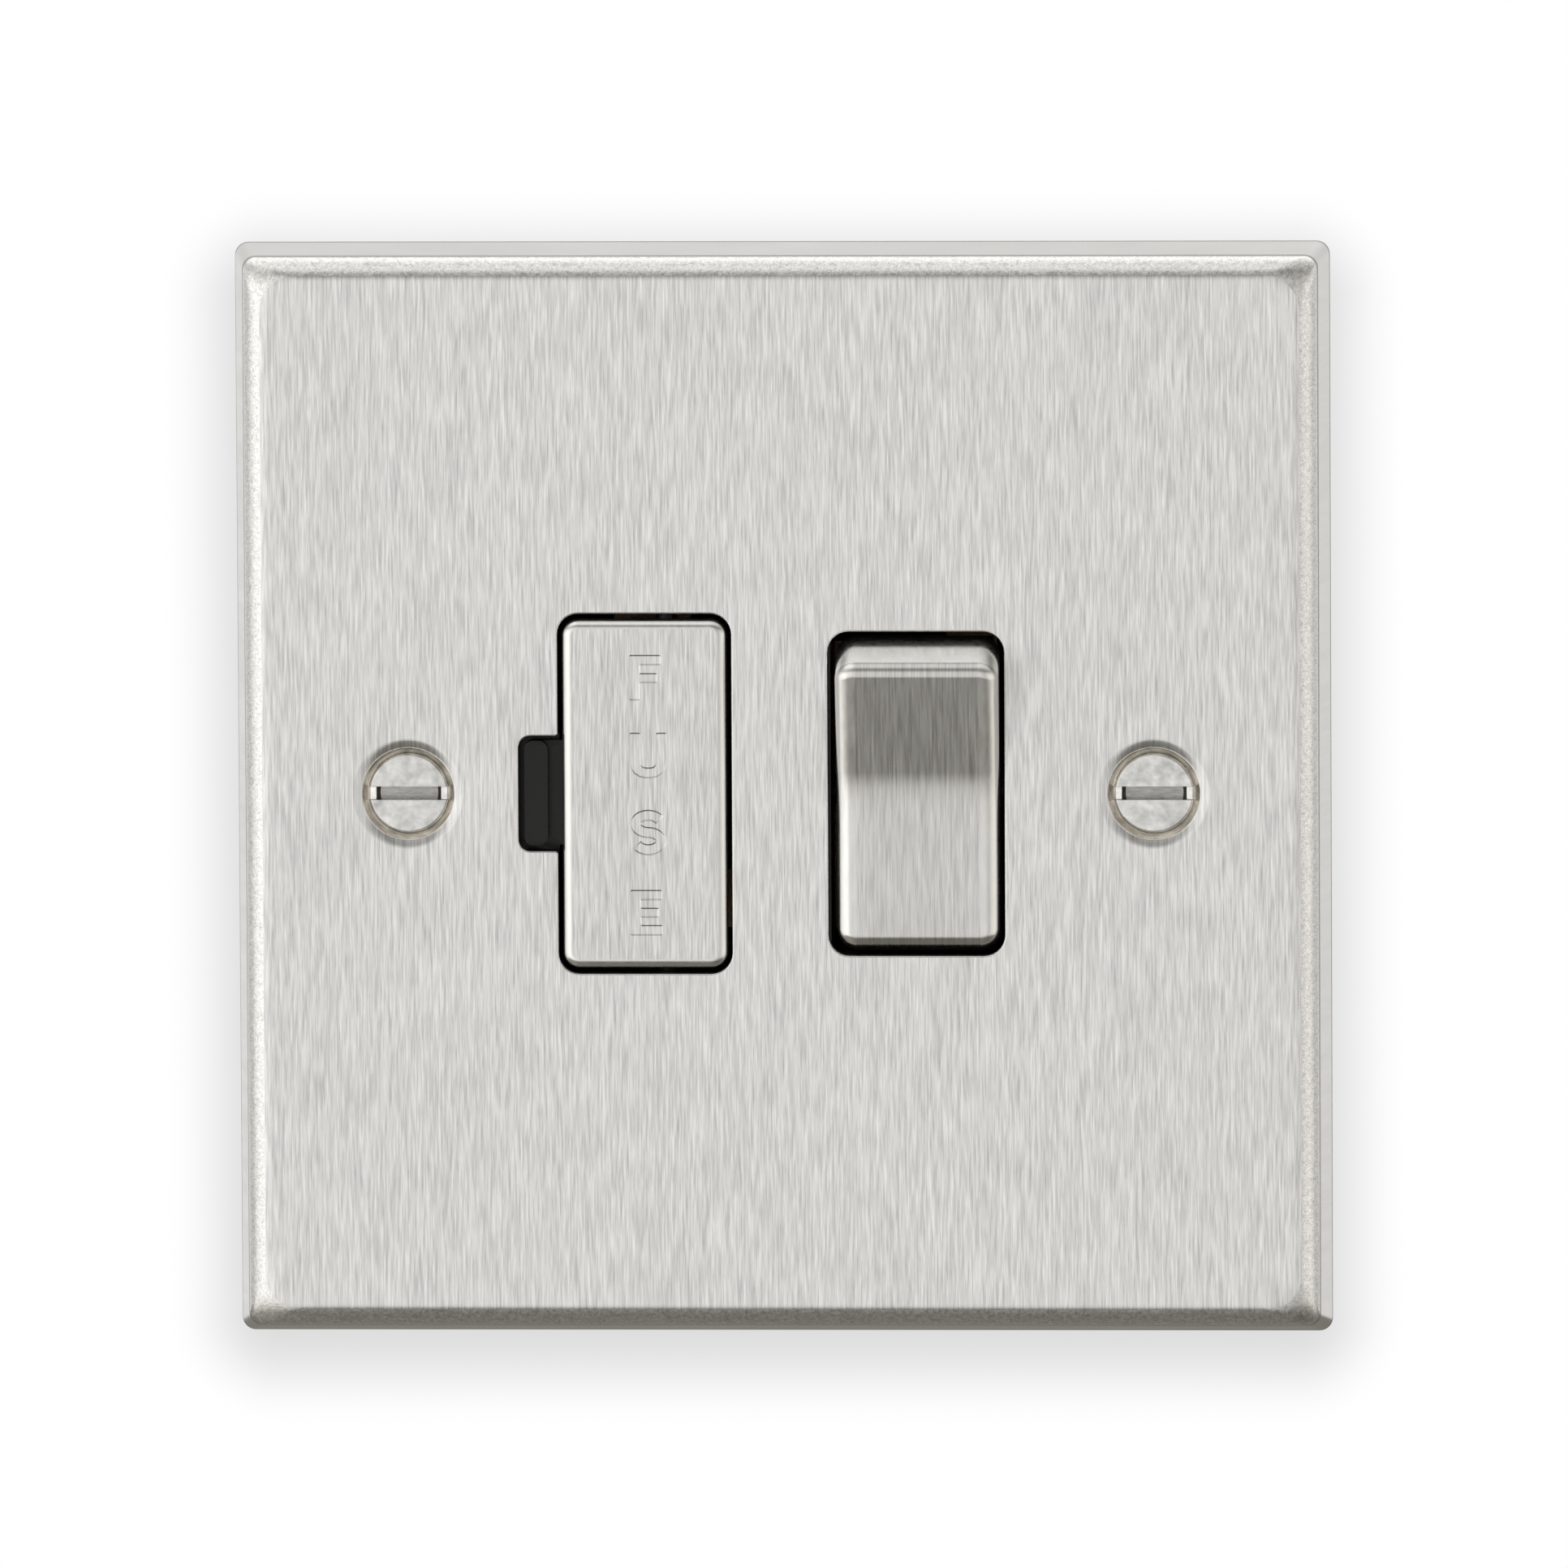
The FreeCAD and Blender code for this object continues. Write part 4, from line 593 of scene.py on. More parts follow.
@dataclass(frozen=True)
class SlottedHead:
    """A round head or grub end with one screwdriver slot across it.

    The stations run from the crown down to the floor of the slot.
    """

    stations: tuple[Flat, ...]
    slot_half: float
    arc_steps: int = 14
    mouth_steps: int = 3

    def draw(
        self, draft: Draft, axis: Axis, floor_finish: Finishes | None
    ) -> tuple[list[int], list[float]]:
        """Draw the head with its slot.

        Args:
            draft: the piece being drawn.
            axis: the middle of the screw.
            floor_finish: the finish of the slot's floor.

        Returns:
            The full ring at the floor of the slot, and the angles of its points.
        """
        floor: list[int] = []
        turns: list[float] = []
        chord: list[int] = []
        for start in (0.0, math.pi):
            rows = []
            for station in self.stations:
                gap = math.asin(self.slot_half / station[0])
                arc_turns = spread(start + gap, start + math.pi - gap, self.arc_steps + 1)
                rows.append(axis.ring(draft, station, arc_turns))
            draft.face(rows[0])
            for first, second in zip(rows, rows[1:]):
                draft.strip(first, second)
            draft.face([r[0] for r in rows] + [r[-1] for r in reversed(rows)])
            # The last station lies at the floor, where the slot's mouth closes the ring.
            middle = start + math.pi
            mouth_turns = spread(middle - gap, middle + gap, self.mouth_steps + 1)[1:-1]
            mouth = axis.ring(draft, self.stations[-1], mouth_turns)
            floor += rows[-1] + mouth
            turns += arc_turns + mouth_turns
            chord += [rows[-1][0], rows[-1][-1]] + mouth
        draft.face(chord, floor_finish)
        return floor, turns


@dataclass(frozen=True)
class Screw:
    """A slotted screw: its head, the stations under it, its thread and its tip."""

    head: SlottedHead
    under: tuple[Flat, ...]
    thread: Thread
    span: Flat
    tip: Flat

    def draw(
        self,
        draft: Draft,
        axis: Axis,
        floor_finish: Finishes | None = None,
        thread_finish: Finishes | None = None,
    ) -> None:
        """Draw the screw.

        Args:
            draft: the piece being drawn.
            axis: the middle of the screw.
            floor_finish: the finish of the slot's floor.
            thread_finish: the finish of the thread and the tip.
        """
        floor, turns = self.head.draw(draft, axis, floor_finish)
        rings = [floor] + [axis.ring(draft, station, turns) for station in self.under]
        draft.bridges(rings)
        threads = self.thread.rings(draft, axis, self.span, turns)
        end = axis.ring(draft, self.tip, turns)
        draft.bridges([rings[-1]] + threads + [end], thread_finish)
        draft.face(end, thread_finish)


@dataclass(frozen=True)
class Bend:
    """A second body for a piece, and where the piece starts and ends; it is held here, and nothing
    is blended.
    """

    body: str
    start: Vector
    end: Vector


def report(piece: Object, body: str, node: str, bend: Bend | None = None) -> None:
    """Put a new piece in place of the node that it stands for, fixed to its body unless it has a
    bend.

    Args:
        piece: the piece, in place.
        body: the body that it rides on.
        node: the node that it replaces.
        bend: a second body, if it has one; then the piece's place is only baked into its points,
            and nothing is blended.
    """
    if bend:
        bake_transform(piece)
    else:
        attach(piece, body)
    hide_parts(node)
    LOG.info("%s: %d faces on %s", piece.name, len(piece.data.polygons), body)


def dress(nodes: dict[str, Object], names: Iterable[str], finish: Finishes, edge: float) -> None:
    """Give nodes a finish and eased edges.

    Args:
        nodes: every node of the frame.
        names: the nodes to dress.
        finish: their finish.
        edge: the width of their eased edges in millimetres.
    """
    for name in names:
        node = nodes[name]
        if not node.data.materials:
            node.data.materials.append(None)
        for holder in node.material_slots:
            holder.material = finish.material()
        weld = node.modifiers.new("weld", "WELD")
        weld.merge_threshold = WELD_REACH * MM
        eased = node.modifiers.new("eased_edges", "BEVEL")
        eased.width = edge * MM
        eased.segments = 2
        eased.limit_method = "ANGLE"
        eased.angle_limit = math.radians(EASED_TURN)
        node.modifiers.new("even_normals", "WEIGHTED_NORMAL").keep_sharp = False
        LOG.info("%s: %s", name, finish.name)


# Sub-assemblies


@dataclass
class Faceplate:
    """The pressed plate with its openings, screw seats and weld studs."""

    half: float = 44.3
    projection: float = 6.0
    flare: float = 12.0
    fold: float = 2.1
    fold_steps: int = 22
    brushed_steps: int = 5
    sheet: float = 1.0
    rim_corner: float = 1.1
    inner_corner: float = 0.2
    inner_steps: int = 6
    face_corner: float = 3.4
    band_overlap: float = 0.3
    edge_round: float = 0.13
    crease: float = 0.4
    rim_line: float = 0.25
    dimple_radius: float = 4.5
    dimple_depth: float = 0.25
    dimple_steps: int = 8
    dimple_power: float = 1.4
    lip_radius: float = 3.725
    lip_width: float = 0.03
    lip_chamfer: Flat = (0.05, 0.07)
    deep_radius: float = 2.74
    hole_radius: float = 1.95
    hole_depth: float = 0.02
    seat_wall: float = 1.06
    stud_length: float = 4.2
    stud_thread: Thread = Thread(1.25, 0.5, 0.16, 7)
    stud_foot: float = 0.4
    stud_tip: float = 0.2
    fuse_x: Flat = (-18.025, -3.975)
    fuse_half: float = 14.6
    notch_left: float = -21.225
    notch_half: float = 4.675
    notch_corners: Flat = (1.0, 0.25)
    rocker_x: Flat = (3.825, 18.075)
    rocker_half: float = 13.15
    opening_corner: float = 1.7

    def fuse_corners(self) -> list[Corner]:
        """Corners of the fuse opening with the lever notch at its left."""
        box = box_corners(self.fuse_x, (-self.fuse_half, self.fuse_half), self.opening_corner)
        (left, inner), (tip, root) = (self.notch_left, self.fuse_x[0]), self.notch_corners
        notch = [(inner, 1, root), (left, 1, tip), (left, -1, tip), (inner, -1, root)]
        return box + [(x, side * self.notch_half, radius) for x, side, radius in notch]

    def rocker_corners(self) -> list[Corner]:
        """Corners of the rocker opening."""
        reach = (-self.rocker_half, self.rocker_half)
        return box_corners(self.rocker_x, reach, self.opening_corner)

    @staticmethod
    def square(half: float, corner: float) -> list[Flat]:
        """A rounded square about the middle."""
        return rounded_loop(box_corners((-half, half), (-half, half), corner), steps=10)

    def wall_half(self, y: float) -> float:
        """Half of the plate's width at a depth of its flared wall."""
        return self.half + y * math.tan(math.radians(self.flare))

    def face_half(self) -> float:
        """Half of the width of the flat face."""
        lean = math.radians(self.flare)
        return self.wall_half(self.fold - self.projection) - self.fold / math.cos(lean)

    def shell(self, draft: Draft, inset: float, steps: int) -> list[list[int]]:
        """Add the rings of the tray from its rim to its flat face.

        Args:
            draft: the piece being drawn.
            inset: 0 for the outside, the sheet's thickness for the inside.
            steps: straight pieces in the rounding.

        Returns:
            The rings, from the rim to the edge of the flat face.
        """
        lean = math.radians(self.flare)
        bend = self.fold - inset
        rim = self.half - inset / math.cos(lean)
        corner = max(self.rim_corner - inset, self.inner_corner)
        rings = [draft.ring(self.square(rim, corner), 0.0)]
        top = math.pi / 2 - lean
        for turn in spread(top, 0.0, steps + 1):
            side = self.face_half() + bend * math.sin(turn)
            radius = corner + (self.face_corner - inset - corner) * (1 - turn / top)
            y = self.fold - self.projection - bend * math.cos(turn)
            rings.append(draft.ring(self.square(side, radius), y))
        return rings

    def wall_ring(self, draft: Draft, y: float) -> list[int]:
        """Add a ring round the outside of the wall."""
        return draft.ring(self.square(self.wall_half(y), self.rim_corner), y)

    def seat(self, draft: Draft, x: float) -> Loops:
        """Draw one pressed and countersunk screw seat.

        Args:
            draft: the piece being drawn.
            x: the middle of the seat.

        Returns:
            The rings where it meets the front and the rear of the sheet.
        """
        face = -self.projection
        lip, hole = self.lip_radius, self.hole_radius
        dimple = []
        for share in spread(0.0, 1.0, self.dimple_steps + 1):
            radius = self.dimple_radius + (lip + self.lip_width - self.dimple_radius) * share
            dimple.append((radius, face + self.dimple_depth * share**self.dimple_power))
        top = face + self.dimple_depth
        bottom, rear = top + lip - hole, face + self.sheet
        inward, down = self.lip_chamfer
        cone = [(lip, top), (lip - inward, top + down)]
        cone.append((self.deep_radius, top + lip - self.deep_radius))
        boss = hole + self.seat_wall
        groups = {
            Finishes.PLATE_FACE: dimple,
            Finishes.SEAT: cone,
            # Painted shade on the hole's wall.
            Finishes.HOLE_SHADE: [(hole, bottom - self.hole_depth), (hole, bottom)],
            Finishes.PLATE_REAR: [(boss, bottom), (boss + bottom - rear, rear)],
        }
        rings: list[list[int]] = []
        for finish, stations in groups.items():
            for radius, y in stations:
                circle = arc((x, 0.0), (radius, radius), full_turn(72))
                rings.append(draft.ring(circle, y))
                draft.bridges(rings[-2:], finish)
        return rings[0], rings[-1]

    def opening(self, draft: Draft, corners: Sequence[Corner]) -> Loops:
        """Draw the eased edge and the wall of one opening.

        Args:
            draft: the piece being drawn.
            corners: the opening's outline.

        Returns:
            The rings where it meets the front and the rear of the sheet.
        """
        face = -self.projection
        rings = []
        for turn in spread(0.0, math.pi / 2, 5):
            grow = self.edge_round * (1 - math.sin(turn))
            y = face + self.edge_round * (1 - math.cos(turn))
            rings.append(draft.ring(rounded_loop(corners, grow), y))
        rings.append(draft.ring(rounded_loop(corners), face + self.sheet))
        draft.bridges(rings, Finishes.CUT_EDGE)
        return rings[0], rings[-1]

    def stud(self, draft: Draft, x: float, z: float) -> list[int]:
        """Draw one threaded stud about x and z, and give its ring on the sheet."""
        axis, turns, thread = Axis((x, 0.0, z)), full_turn(32), self.stud_thread
        foot = self.sheet - self.projection
        end = foot + self.stud_length
        rings = [axis.ring(draft, (thread.radius, foot), turns)]
        rings += thread.rings(draft, axis, (foot + self.stud_foot, end - self.stud_tip), turns)
        rings.append(axis.ring(draft, (thread.radius - self.stud_tip, end), turns))
        draft.bridges(rings)
        draft.face(rings[-1])
        return rings[0]

    def build(self) -> None:
        """Draw the plate and put it in place of its node."""
        draft = Draft(Finishes.PLATE_REAR)
        outside = self.shell(draft, 0.0, self.fold_steps)
        inside = self.shell(draft, self.sheet, self.inner_steps)
        # A fine crease runs along the fold; a thin dark strip of painted shade lies along it, and
        # another along the rim.
        folded = math.sin(math.radians(self.flare)) * self.fold
        line = self.wall_ring(draft, self.fold - self.projection - folded + self.crease)
        edge = self.wall_ring(draft, -self.rim_line)
        draft.bridge(outside[0], edge, Finishes.CREASE_SHADE)
        draft.bridge(edge, line, Finishes.PLATE_WALL)
        draft.bridge(line, outside[1], Finishes.CREASE_SHADE)
        draft.bridges(outside[1 : -self.brushed_steps], Finishes.PLATE_BAND)
        draft.bridges(outside[-self.brushed_steps - 1 :], Finishes.PLATE_FACE)
        draft.bridge(outside[0], inside[0], Finishes.PLATE_WALL)
        draft.bridges(inside)
        overlap = self.band_overlap
        border = self.square(self.face_half() - overlap, self.face_corner + overlap)
        inner = draft.ring(border, -self.projection)
        draft.bridge(outside[-1], inner, Finishes.PLATE_FACE)
        holes = [self.seat(draft, x) for x in (-FIXING_X, FIXING_X)]
        holes += [self.opening(draft, c) for c in (self.fuse_corners(), self.rocker_corners())]
        studs = [self.stud(draft, x, z) for x, z in STUDS]
        draft.flat(inner, [front for front, rear in holes], Finishes.PLATE_FACE)
        draft.flat(inside[-1], [rear for front, rear in holes] + studs)
        report(draft.build("plate_pressing"), "unit", "faceplate")


@dataclass
class FixingScrews:
    """The two countersunk slotted screws that hold the unit to the wall box."""

    crown: float = -5.495
    head_radius: float = 3.25
    face_radius: float = 3.03
    rim: float = 0.22
    length: float = 25.0
    thread: Thread = Thread(1.75, 0.6, 0.28)
    tip: float = 0.35
    slot_half: float = 0.55
    slot_depth: float = 1.1
    relief: float = 0.03
    pad_reach: Flat = (2.62, 3.17)
    pad_sink: float = 0.24

    def draw_pad(self, draft: Draft, x: float, way: float) -> None:
        """Draw the burr that closes one mouth of the slot, level with the head, in a pale finish
        that paints a highlight on it.

        Args:
            draft: the screw being drawn.
            x: the middle of the screw.
            way: -1 for the left mouth, 1 for the right.
        """
        inner, outer = self.pad_reach
        top = self.crown + self.pad_sink
        deep = self.crown + self.rim + self.head_radius - self.relief / 2 - inner
        side_view = ((inner, top + 0.05), (inner + 0.06, top), (outer - 0.08, top))
        side_view += ((outer, top + 0.08), (inner, deep))
        half = self.slot_half - 0.04
        rows = [draft.add((x + way * r, y, z) for r, y in side_view) for z in (-half, half)]
        draft.solid(rows, Finishes.SLOT_MOUTH_HIGHLIGHT)

    def build_one(self, side: str, x: float) -> None:
        """Draw one screw, left or right, and put it in place of its node."""
        draft = Draft(Finishes.SCREW_HEAD)
        crown, cone, shank = self.crown, self.crown + self.rim, self.thread.radius
        neck, tip = cone + self.head_radius - shank, cone + self.length
        stations = (
            (self.face_radius, crown),
            (self.face_radius + 0.05, crown + 0.02),
            (self.head_radius - 0.03, crown + 0.15),
            (self.head_radius, cone),
            (self.head_radius + self.rim - self.slot_depth - self.relief, crown + self.slot_depth),
        )
        head = SlottedHead(stations, self.slot_half, 18, 4)
        span, end = (neck + 0.8, tip - 0.4), (shank - self.tip, tip)
        screw = Screw(head, ((shank, neck),), self.thread, span, end)
        screw.draw(draft, Axis((x, 0.0, 0.0)), Finishes.SLOT_FLOOR_SHADE, Finishes.SCREW_THREAD)
        for way in (-1.0, 1.0):
            self.draw_pad(draft, x, way)
        report(draft.build(f"wall_screw_{side}"), "unit", f"fixing_screw_{side}")

    def build(self) -> None:
        """Build both screws."""
        self.build_one("left", -FIXING_X)
        self.build_one("right", FIXING_X)


class Letter(Enum):
    """The letters pressed into the fuse cap, as corners with a radius where it is large.

    The S is a pen stroke instead: the height, start and end in degrees of its two bowls.
    """

    F = (
        (0, 0), (0.82, 0), (0.82, 1.42), (2.2, 1.42), (2.2, 2.12), (0.82, 2.12),
        (0.82, 2.86), (2.5, 2.86), (2.5, 3.6), (0, 3.6),
    )
    U = (
        (0, 0, 1.25), (2.95, 0, 1.25), (2.95, 3.6), (2.13, 3.6), (2.13, 0.78, 0.45),
        (0.82, 0.78, 0.45), (0.82, 3.6), (0, 3.6),
    )
    S = ((2.5, 28, 270), (1.1, 90, -152))
    E = (
        (0, 0), (2.55, 0), (2.55, 0.75), (0.82, 0.75), (0.82, 1.45), (2.25, 1.45),
        (2.25, 2.15), (0.82, 2.15), (0.82, 2.86), (2.5, 2.86), (2.5, 3.6), (0, 3.6),
    )

    def loop(self, grow: float) -> list[Flat]:
        """The letter's outline, moved outwards by grow."""
        soft, bowl_middle, bowl_reach, pen_half = 0.12, 1.45, (1.02, 0.7), 0.4
        if self is not Letter.S:
            corners = [c if len(c) == 3 else (*c, soft) for c in self.value]
            return rounded_loop(corners, grow, 4)
        path: list[Flat] = []
        for height, start, end in self.value:
            turns = spread(math.radians(start), math.radians(end), 19)
            path += arc((bowl_middle, height), bowl_reach, turns[1:] if path else turns)
        return stroke_loop(path, pen_half, grow)


@dataclass
class FuseCarrier:
    """The swing-out carrier: its metal cap, its moulding and the fuse in it."""

    middle: float = -11.0
    half_width: float = 6.665
    half_height: float = 14.15
    front: float = -6.4
    depth: float = 1.4
    corner: float = 1.34
    eased: float = 0.75
    skin: float = 0.6
    letter_left: float = -12.16
    letter_feet: tuple[float, ...] = (7.66, 1.35, -4.9, -11.41)
    press_depth: float = 0.055
    press_soft: float = 0.06
    fuse_at: Flat = (-11.335, 0.2)
    fuse_end: float = 12.7
    fuse_sleeve: float = 7.1
    fuse_radius: float = 3.17
    fuse_soft: float = 0.3
    tube_radius: float = 2.9
    end_sheet: float = 0.32
    crimp: float = 0.1
    end_dimple: float = 0.05

    def outline(self, grow: float) -> list[Flat]:
        """The cap's outline, moved outwards by grow."""
        x = (self.middle - self.half_width, self.middle + self.half_width)
        z = (-self.half_height, self.half_height)
        return rounded_loop(box_corners(x, z, self.corner), grow, 9)

    def letter(self, draft: Draft, letter: Letter, foot: float) -> list[int]:
        """Press one letter into the cap's face.

        Args:
            draft: the cap being drawn.
            letter: which letter.
            foot: the height of its foot.

        Returns:
            The ring where the pressing starts in the face.
        """
        rings = []
        for share in spread(0.0, 1.0, 5):
            loop = letter.loop(self.press_soft * (1 - 2 * share))
            moved = [(x + self.letter_left, z + foot) for x, z in loop]
            sunk = self.press_depth * share * share * (3 - 2 * share)
            rings.append(draft.ring(moved, self.front + sunk))
        draft.bridges(rings)
        draft.flat(rings[-1], [])
        return rings[0]

    def build_cap(self) -> None:
        """Draw the metal cap and put it in place of its node."""
        draft = Draft(Finishes.CAP_FACE)
        steps = []
        for turn in spread(0.0, math.pi / 2, 15):
            inward, back = self.eased * (math.sin(turn) - 1), self.eased * (1 - math.cos(turn))
            steps.append((inward, back))
        steps += [(0.0, self.depth), (-self.skin, self.depth), (-self.skin, self.skin)]
        rings = [draft.ring(self.outline(grow), self.front + back) for grow, back in steps]
        draft.bridges(rings, Finishes.CAP_EDGE)
        letters = [self.letter(draft, *pair) for pair in zip(Letter, self.letter_feet)]
        draft.flat(rings[0], letters)
        draft.face(rings[-1], Finishes.CAP_EDGE)
        cap = draft.build("fuse_cap_pressing", 50.0)
        report(cap, "fuse_carrier", "fuse_carrier_cap")

    def build_fuse_end(self, end: str, side: float) -> None:
        """Draw one end cap of the fuse and put it in place of its node.

        Args:
            end: upper or lower.
            side: 1 for the upper end, -1 for the lower.
        """
        draft = Draft(Finishes.FUSE_CAP)
        axis = Axis((*self.fuse_at, 0.0), (0.0, 0.0, side))
        r, sleeve, top, soft = self.fuse_radius, self.fuse_sleeve, self.fuse_end, self.fuse_soft
        profile = [(self.tube_radius, top - self.end_sheet), (self.tube_radius, sleeve)]
        profile += [(r - 0.08, sleeve), (r, sleeve + 0.08), (r, sleeve + 0.9)]
        profile += [(r - self.crimp, sleeve + 1.1), (r - self.crimp, sleeve + 1.3)]
        profile.append((r, sleeve + 1.5))
        for turn in spread(0.0, math.pi / 2, 6):
            profile.append((r - soft * (1 - math.cos(turn)), top - soft * (1 - math.sin(turn))))
        profile += [(1.1, top), (0.9, top - self.end_dimple)]
        draft.solid([axis.ring(draft, station, full_turn(56)) for station in profile])
        cap = draft.build(f"fuse_ferrule_{end}")
        report(cap, "fuse_carrier", f"fuse_end_cap_{end}")

    def build(self, nodes: dict[str, Object]) -> None:
        """Build the cap and the fuse's ends, and dress the rest."""
        self.build_cap()
        self.build_fuse_end("upper", 1.0)
        self.build_fuse_end("lower", -1.0)
        dress(nodes, ["fuse_carrier"], Finishes.BLACK, 0.22)
        dress(nodes, ["fuse_tube"], Finishes.CERAMIC, 0.15)


@dataclass
class Rocker:
    """The rocker: metal skin, moulding, plungers and their springs."""

    middle: float = 11.1
    half_width: float = 6.6
    pivot_y: float = -1.5
    tilt: float = 7.5
    lean: float = 7.5
    sweep: float = 13.1
    face: float = 4.99
    valley: float = 20.0
    eased: float = 1.1
    corner: float = 1.6
    skirt: float = 1.5
    sweep_steps: int = 11
    skin: float = 0.6
    pole_offset: float = 3.6
    spring_radius: float = 1.1
    spring_wire: float = 0.2
    spring_span: Flat = (-3.4, 2.6)
    spring_turns: float = 6.5
    spring_closed: float = 0.1

    def stand(self, x: float, ahead: float, up: float) -> Vector:
        """Place a point given ahead of and above the pivot, at the kept position."""
        angle = math.radians(self.tilt)
        c, s = math.cos(angle), math.sin(angle)
        return Vector((x, self.pivot_y - ahead * c - up * s, up * c - ahead * s))

    def profile(self, sink: float, drawn: float, steps: int = 10) -> list[Flat]:
        """Side view of the cap from its lower skirt edge round to its upper one.

        Args:
            sink: how far the face lies behind the outermost one.
            drawn: how far the ends are drawn in from the outermost ones.
            steps: straight pieces in each eased end.

        Returns:
            Ahead and up of each point.
        """
        lean = math.radians(self.lean)
        c, s = math.cos(lean), math.sin(lean)
        bend = max(self.eased - sink, 0.12)
        radius = self.sweep - drawn
        reach = radius - bend
        foot = self.face - (sink + bend) / c
        # The middle of the eased end lies on a line along the face and on a circle.
        half = foot * s
        along = math.sqrt(half * half - (foot * foot - reach * reach)) - half
        centre = (foot + along * s, along * c)
        start = math.atan2(centre[1], centre[0])
        points: list[Flat] = []
        low = math.acos(self.skirt / radius)
        for angle in spread(low, start, self.sweep_steps + 1)[:-1]:
            points.append((radius * math.cos(angle), radius * math.sin(angle)))
        for angle in spread(start, -lean, steps + 1):
            points.append(
                (centre[0] + bend * math.cos(angle), centre[1] + bend * math.sin(angle))
            )
        hollow = self.valley + sink
        middle = self.face + self.valley / c
        for angle in spread(lean, 0.0, 7):
            points.append((middle - hollow * math.cos(angle), hollow * math.sin(angle)))
        mirrored = [(u, -w) for u, w in points[:-1]]
        return mirrored + points[::-1]

    def section(
        self, draft: Draft, x: float, sink: float, drawn: float, steps: int = 10
    ) -> list[int]:
        """Add the side view at a distance from the middle, as in profile."""
        points = self.profile(sink, drawn, steps)
        return draft.add(self.stand(self.middle + x, u, w) for u, w in points)

    def build_cap(self) -> None:
        """Draw the metal skin and put it in place of its node."""
        draft = Draft(Finishes.CAP_EDGE)
        rows = []
        for turn in spread(0.0, math.pi / 2, 19):
            step = self.corner * (1 - math.cos(turn))
            drawn = self.corner * (1 - math.sin(turn))
            rest = max(self.eased - step, 0.0)
            sink = self.eased - math.sqrt(self.eased**2 - rest**2)
            rows.append((self.half_width - step, sink, drawn))
        sections = [(-x, sink, drawn) for x, sink, drawn in rows] + rows[::-1]
        outside = [self.section(draft, *row) for row in sections]
        ends = self.sweep_steps
        for number, (first, second) in enumerate(zip(outside, outside[1:])):
            across = Finishes.ROCKER_FACE if number == len(rows) - 1 else Finishes.CAP_EDGE
            # Painted highlight on the rocker's curved ends.
            draft.strip(first[: ends + 1], second[: ends + 1], Finishes.CAP_END)
            draft.strip(first[ends:-ends], second[ends:-ends], across)
            draft.strip(first[-ends - 1 :], second[-ends - 1 :], Finishes.CAP_END)
        half = self.half_width - self.skin
        inside = [self.section(draft, x, self.skin, self.skin, 3) for x in (-half, half)]
        draft.strip(*inside)
        for row in (outside[0], outside[-1], *inside):
            draft.face(row)
        rim = [row[0] for row in outside] + [row[-1] for row in reversed(outside)]
        hole = [inside[0][0], inside[1][0], inside[1][-1], inside[0][-1]]
        draft.flat(rim, [hole])
        report(draft.build("rocker_skin", 50.0), "rocker", "rocker_cap")

    def build_spring(self, pole: str, side: float) -> None:
        """Draw one coil spring and put it in place of its node.

        Args:
            pole: live or neutral.
            side: -1 for the live pole, 1 for the neutral.
        """
        draft = Draft(Finishes.SPRING)
        x, wire, shut = self.middle + side * self.pole_offset, self.spring_wire, self.spring_closed
        low, high = self.spring_span[0] + wire, self.spring_span[1] - wire
        rings = []
        for share in spread(0.0, 1.0, int(self.spring_turns * 24) + 1):
            angle = 2 * math.pi * self.spring_turns * share
            # The first and last turns are closed, so the rise is gentle there.
            rise = min(max((share - shut) / (1 - 2 * shut), 0.0), 1.0)
            closing = min(share / shut, 1.0) + max((share - 1 + shut) / shut, 0.0)
            height = low + 2 * wire * closing + (high - low - 4 * wire) * rise
            loop = arc((self.spring_radius, height), (wire, wire), full_turn(10))
            c, s = math.cos(angle), math.sin(angle)
            rings.append(draft.add(self.stand(x + r * c, ahead, r * s) for r, ahead in loop))
        draft.solid(rings)
        # In the unit the coil shortens between the rocker's guide and the plunger's rear; here
        # both ends are only noted.
        bend = Bend(f"plunger_{pole}", self.stand(x, high, 0.0), self.stand(x, low, 0.0))
        coil = draft.build(f"plunger_coil_{pole}")
        report(coil, "rocker", f"plunger_spring_{pole}", bend)

    def build(self, nodes: dict[str, Object]) -> None:
        """Build the skin and the springs, and dress the rest."""
        self.build_cap()
        self.build_spring("live", -1.0)
        self.build_spring("neutral", 1.0)
        dress(nodes, ["rocker"], Finishes.BLACK, 0.12)
        dress(nodes, ["plunger_live", "plunger_neutral"], Finishes.NYLON, 0.1)


@dataclass
class CurrentPath:
    """The strips, tips and fuse contacts that carry the current."""

    poles: tuple[str, ...] = ("live", "neutral")

    def build(self, nodes: dict[str, Object]) -> None:
        """Dress the strips in copper and the tips in silver."""
        pairs = ("moving_contact", "contact_support")
        strips = [f"{kind}_{p}" for kind in pairs for p in self.poles]
        strips += ["load_neutral_strap", "live_link", "load_live_strap", "earth_link"]
        strips += ["fuse_contact_upper", "fuse_contact_lower", "faceplate_earth_clip"]
        tips = [f"{kind}_contact_tip_{p}" for kind in ("moving", "fixed") for p in self.poles]
        dress(nodes, strips, Finishes.COPPER, 0.1)
        dress(nodes, tips, Finishes.SILVER, 0.12)


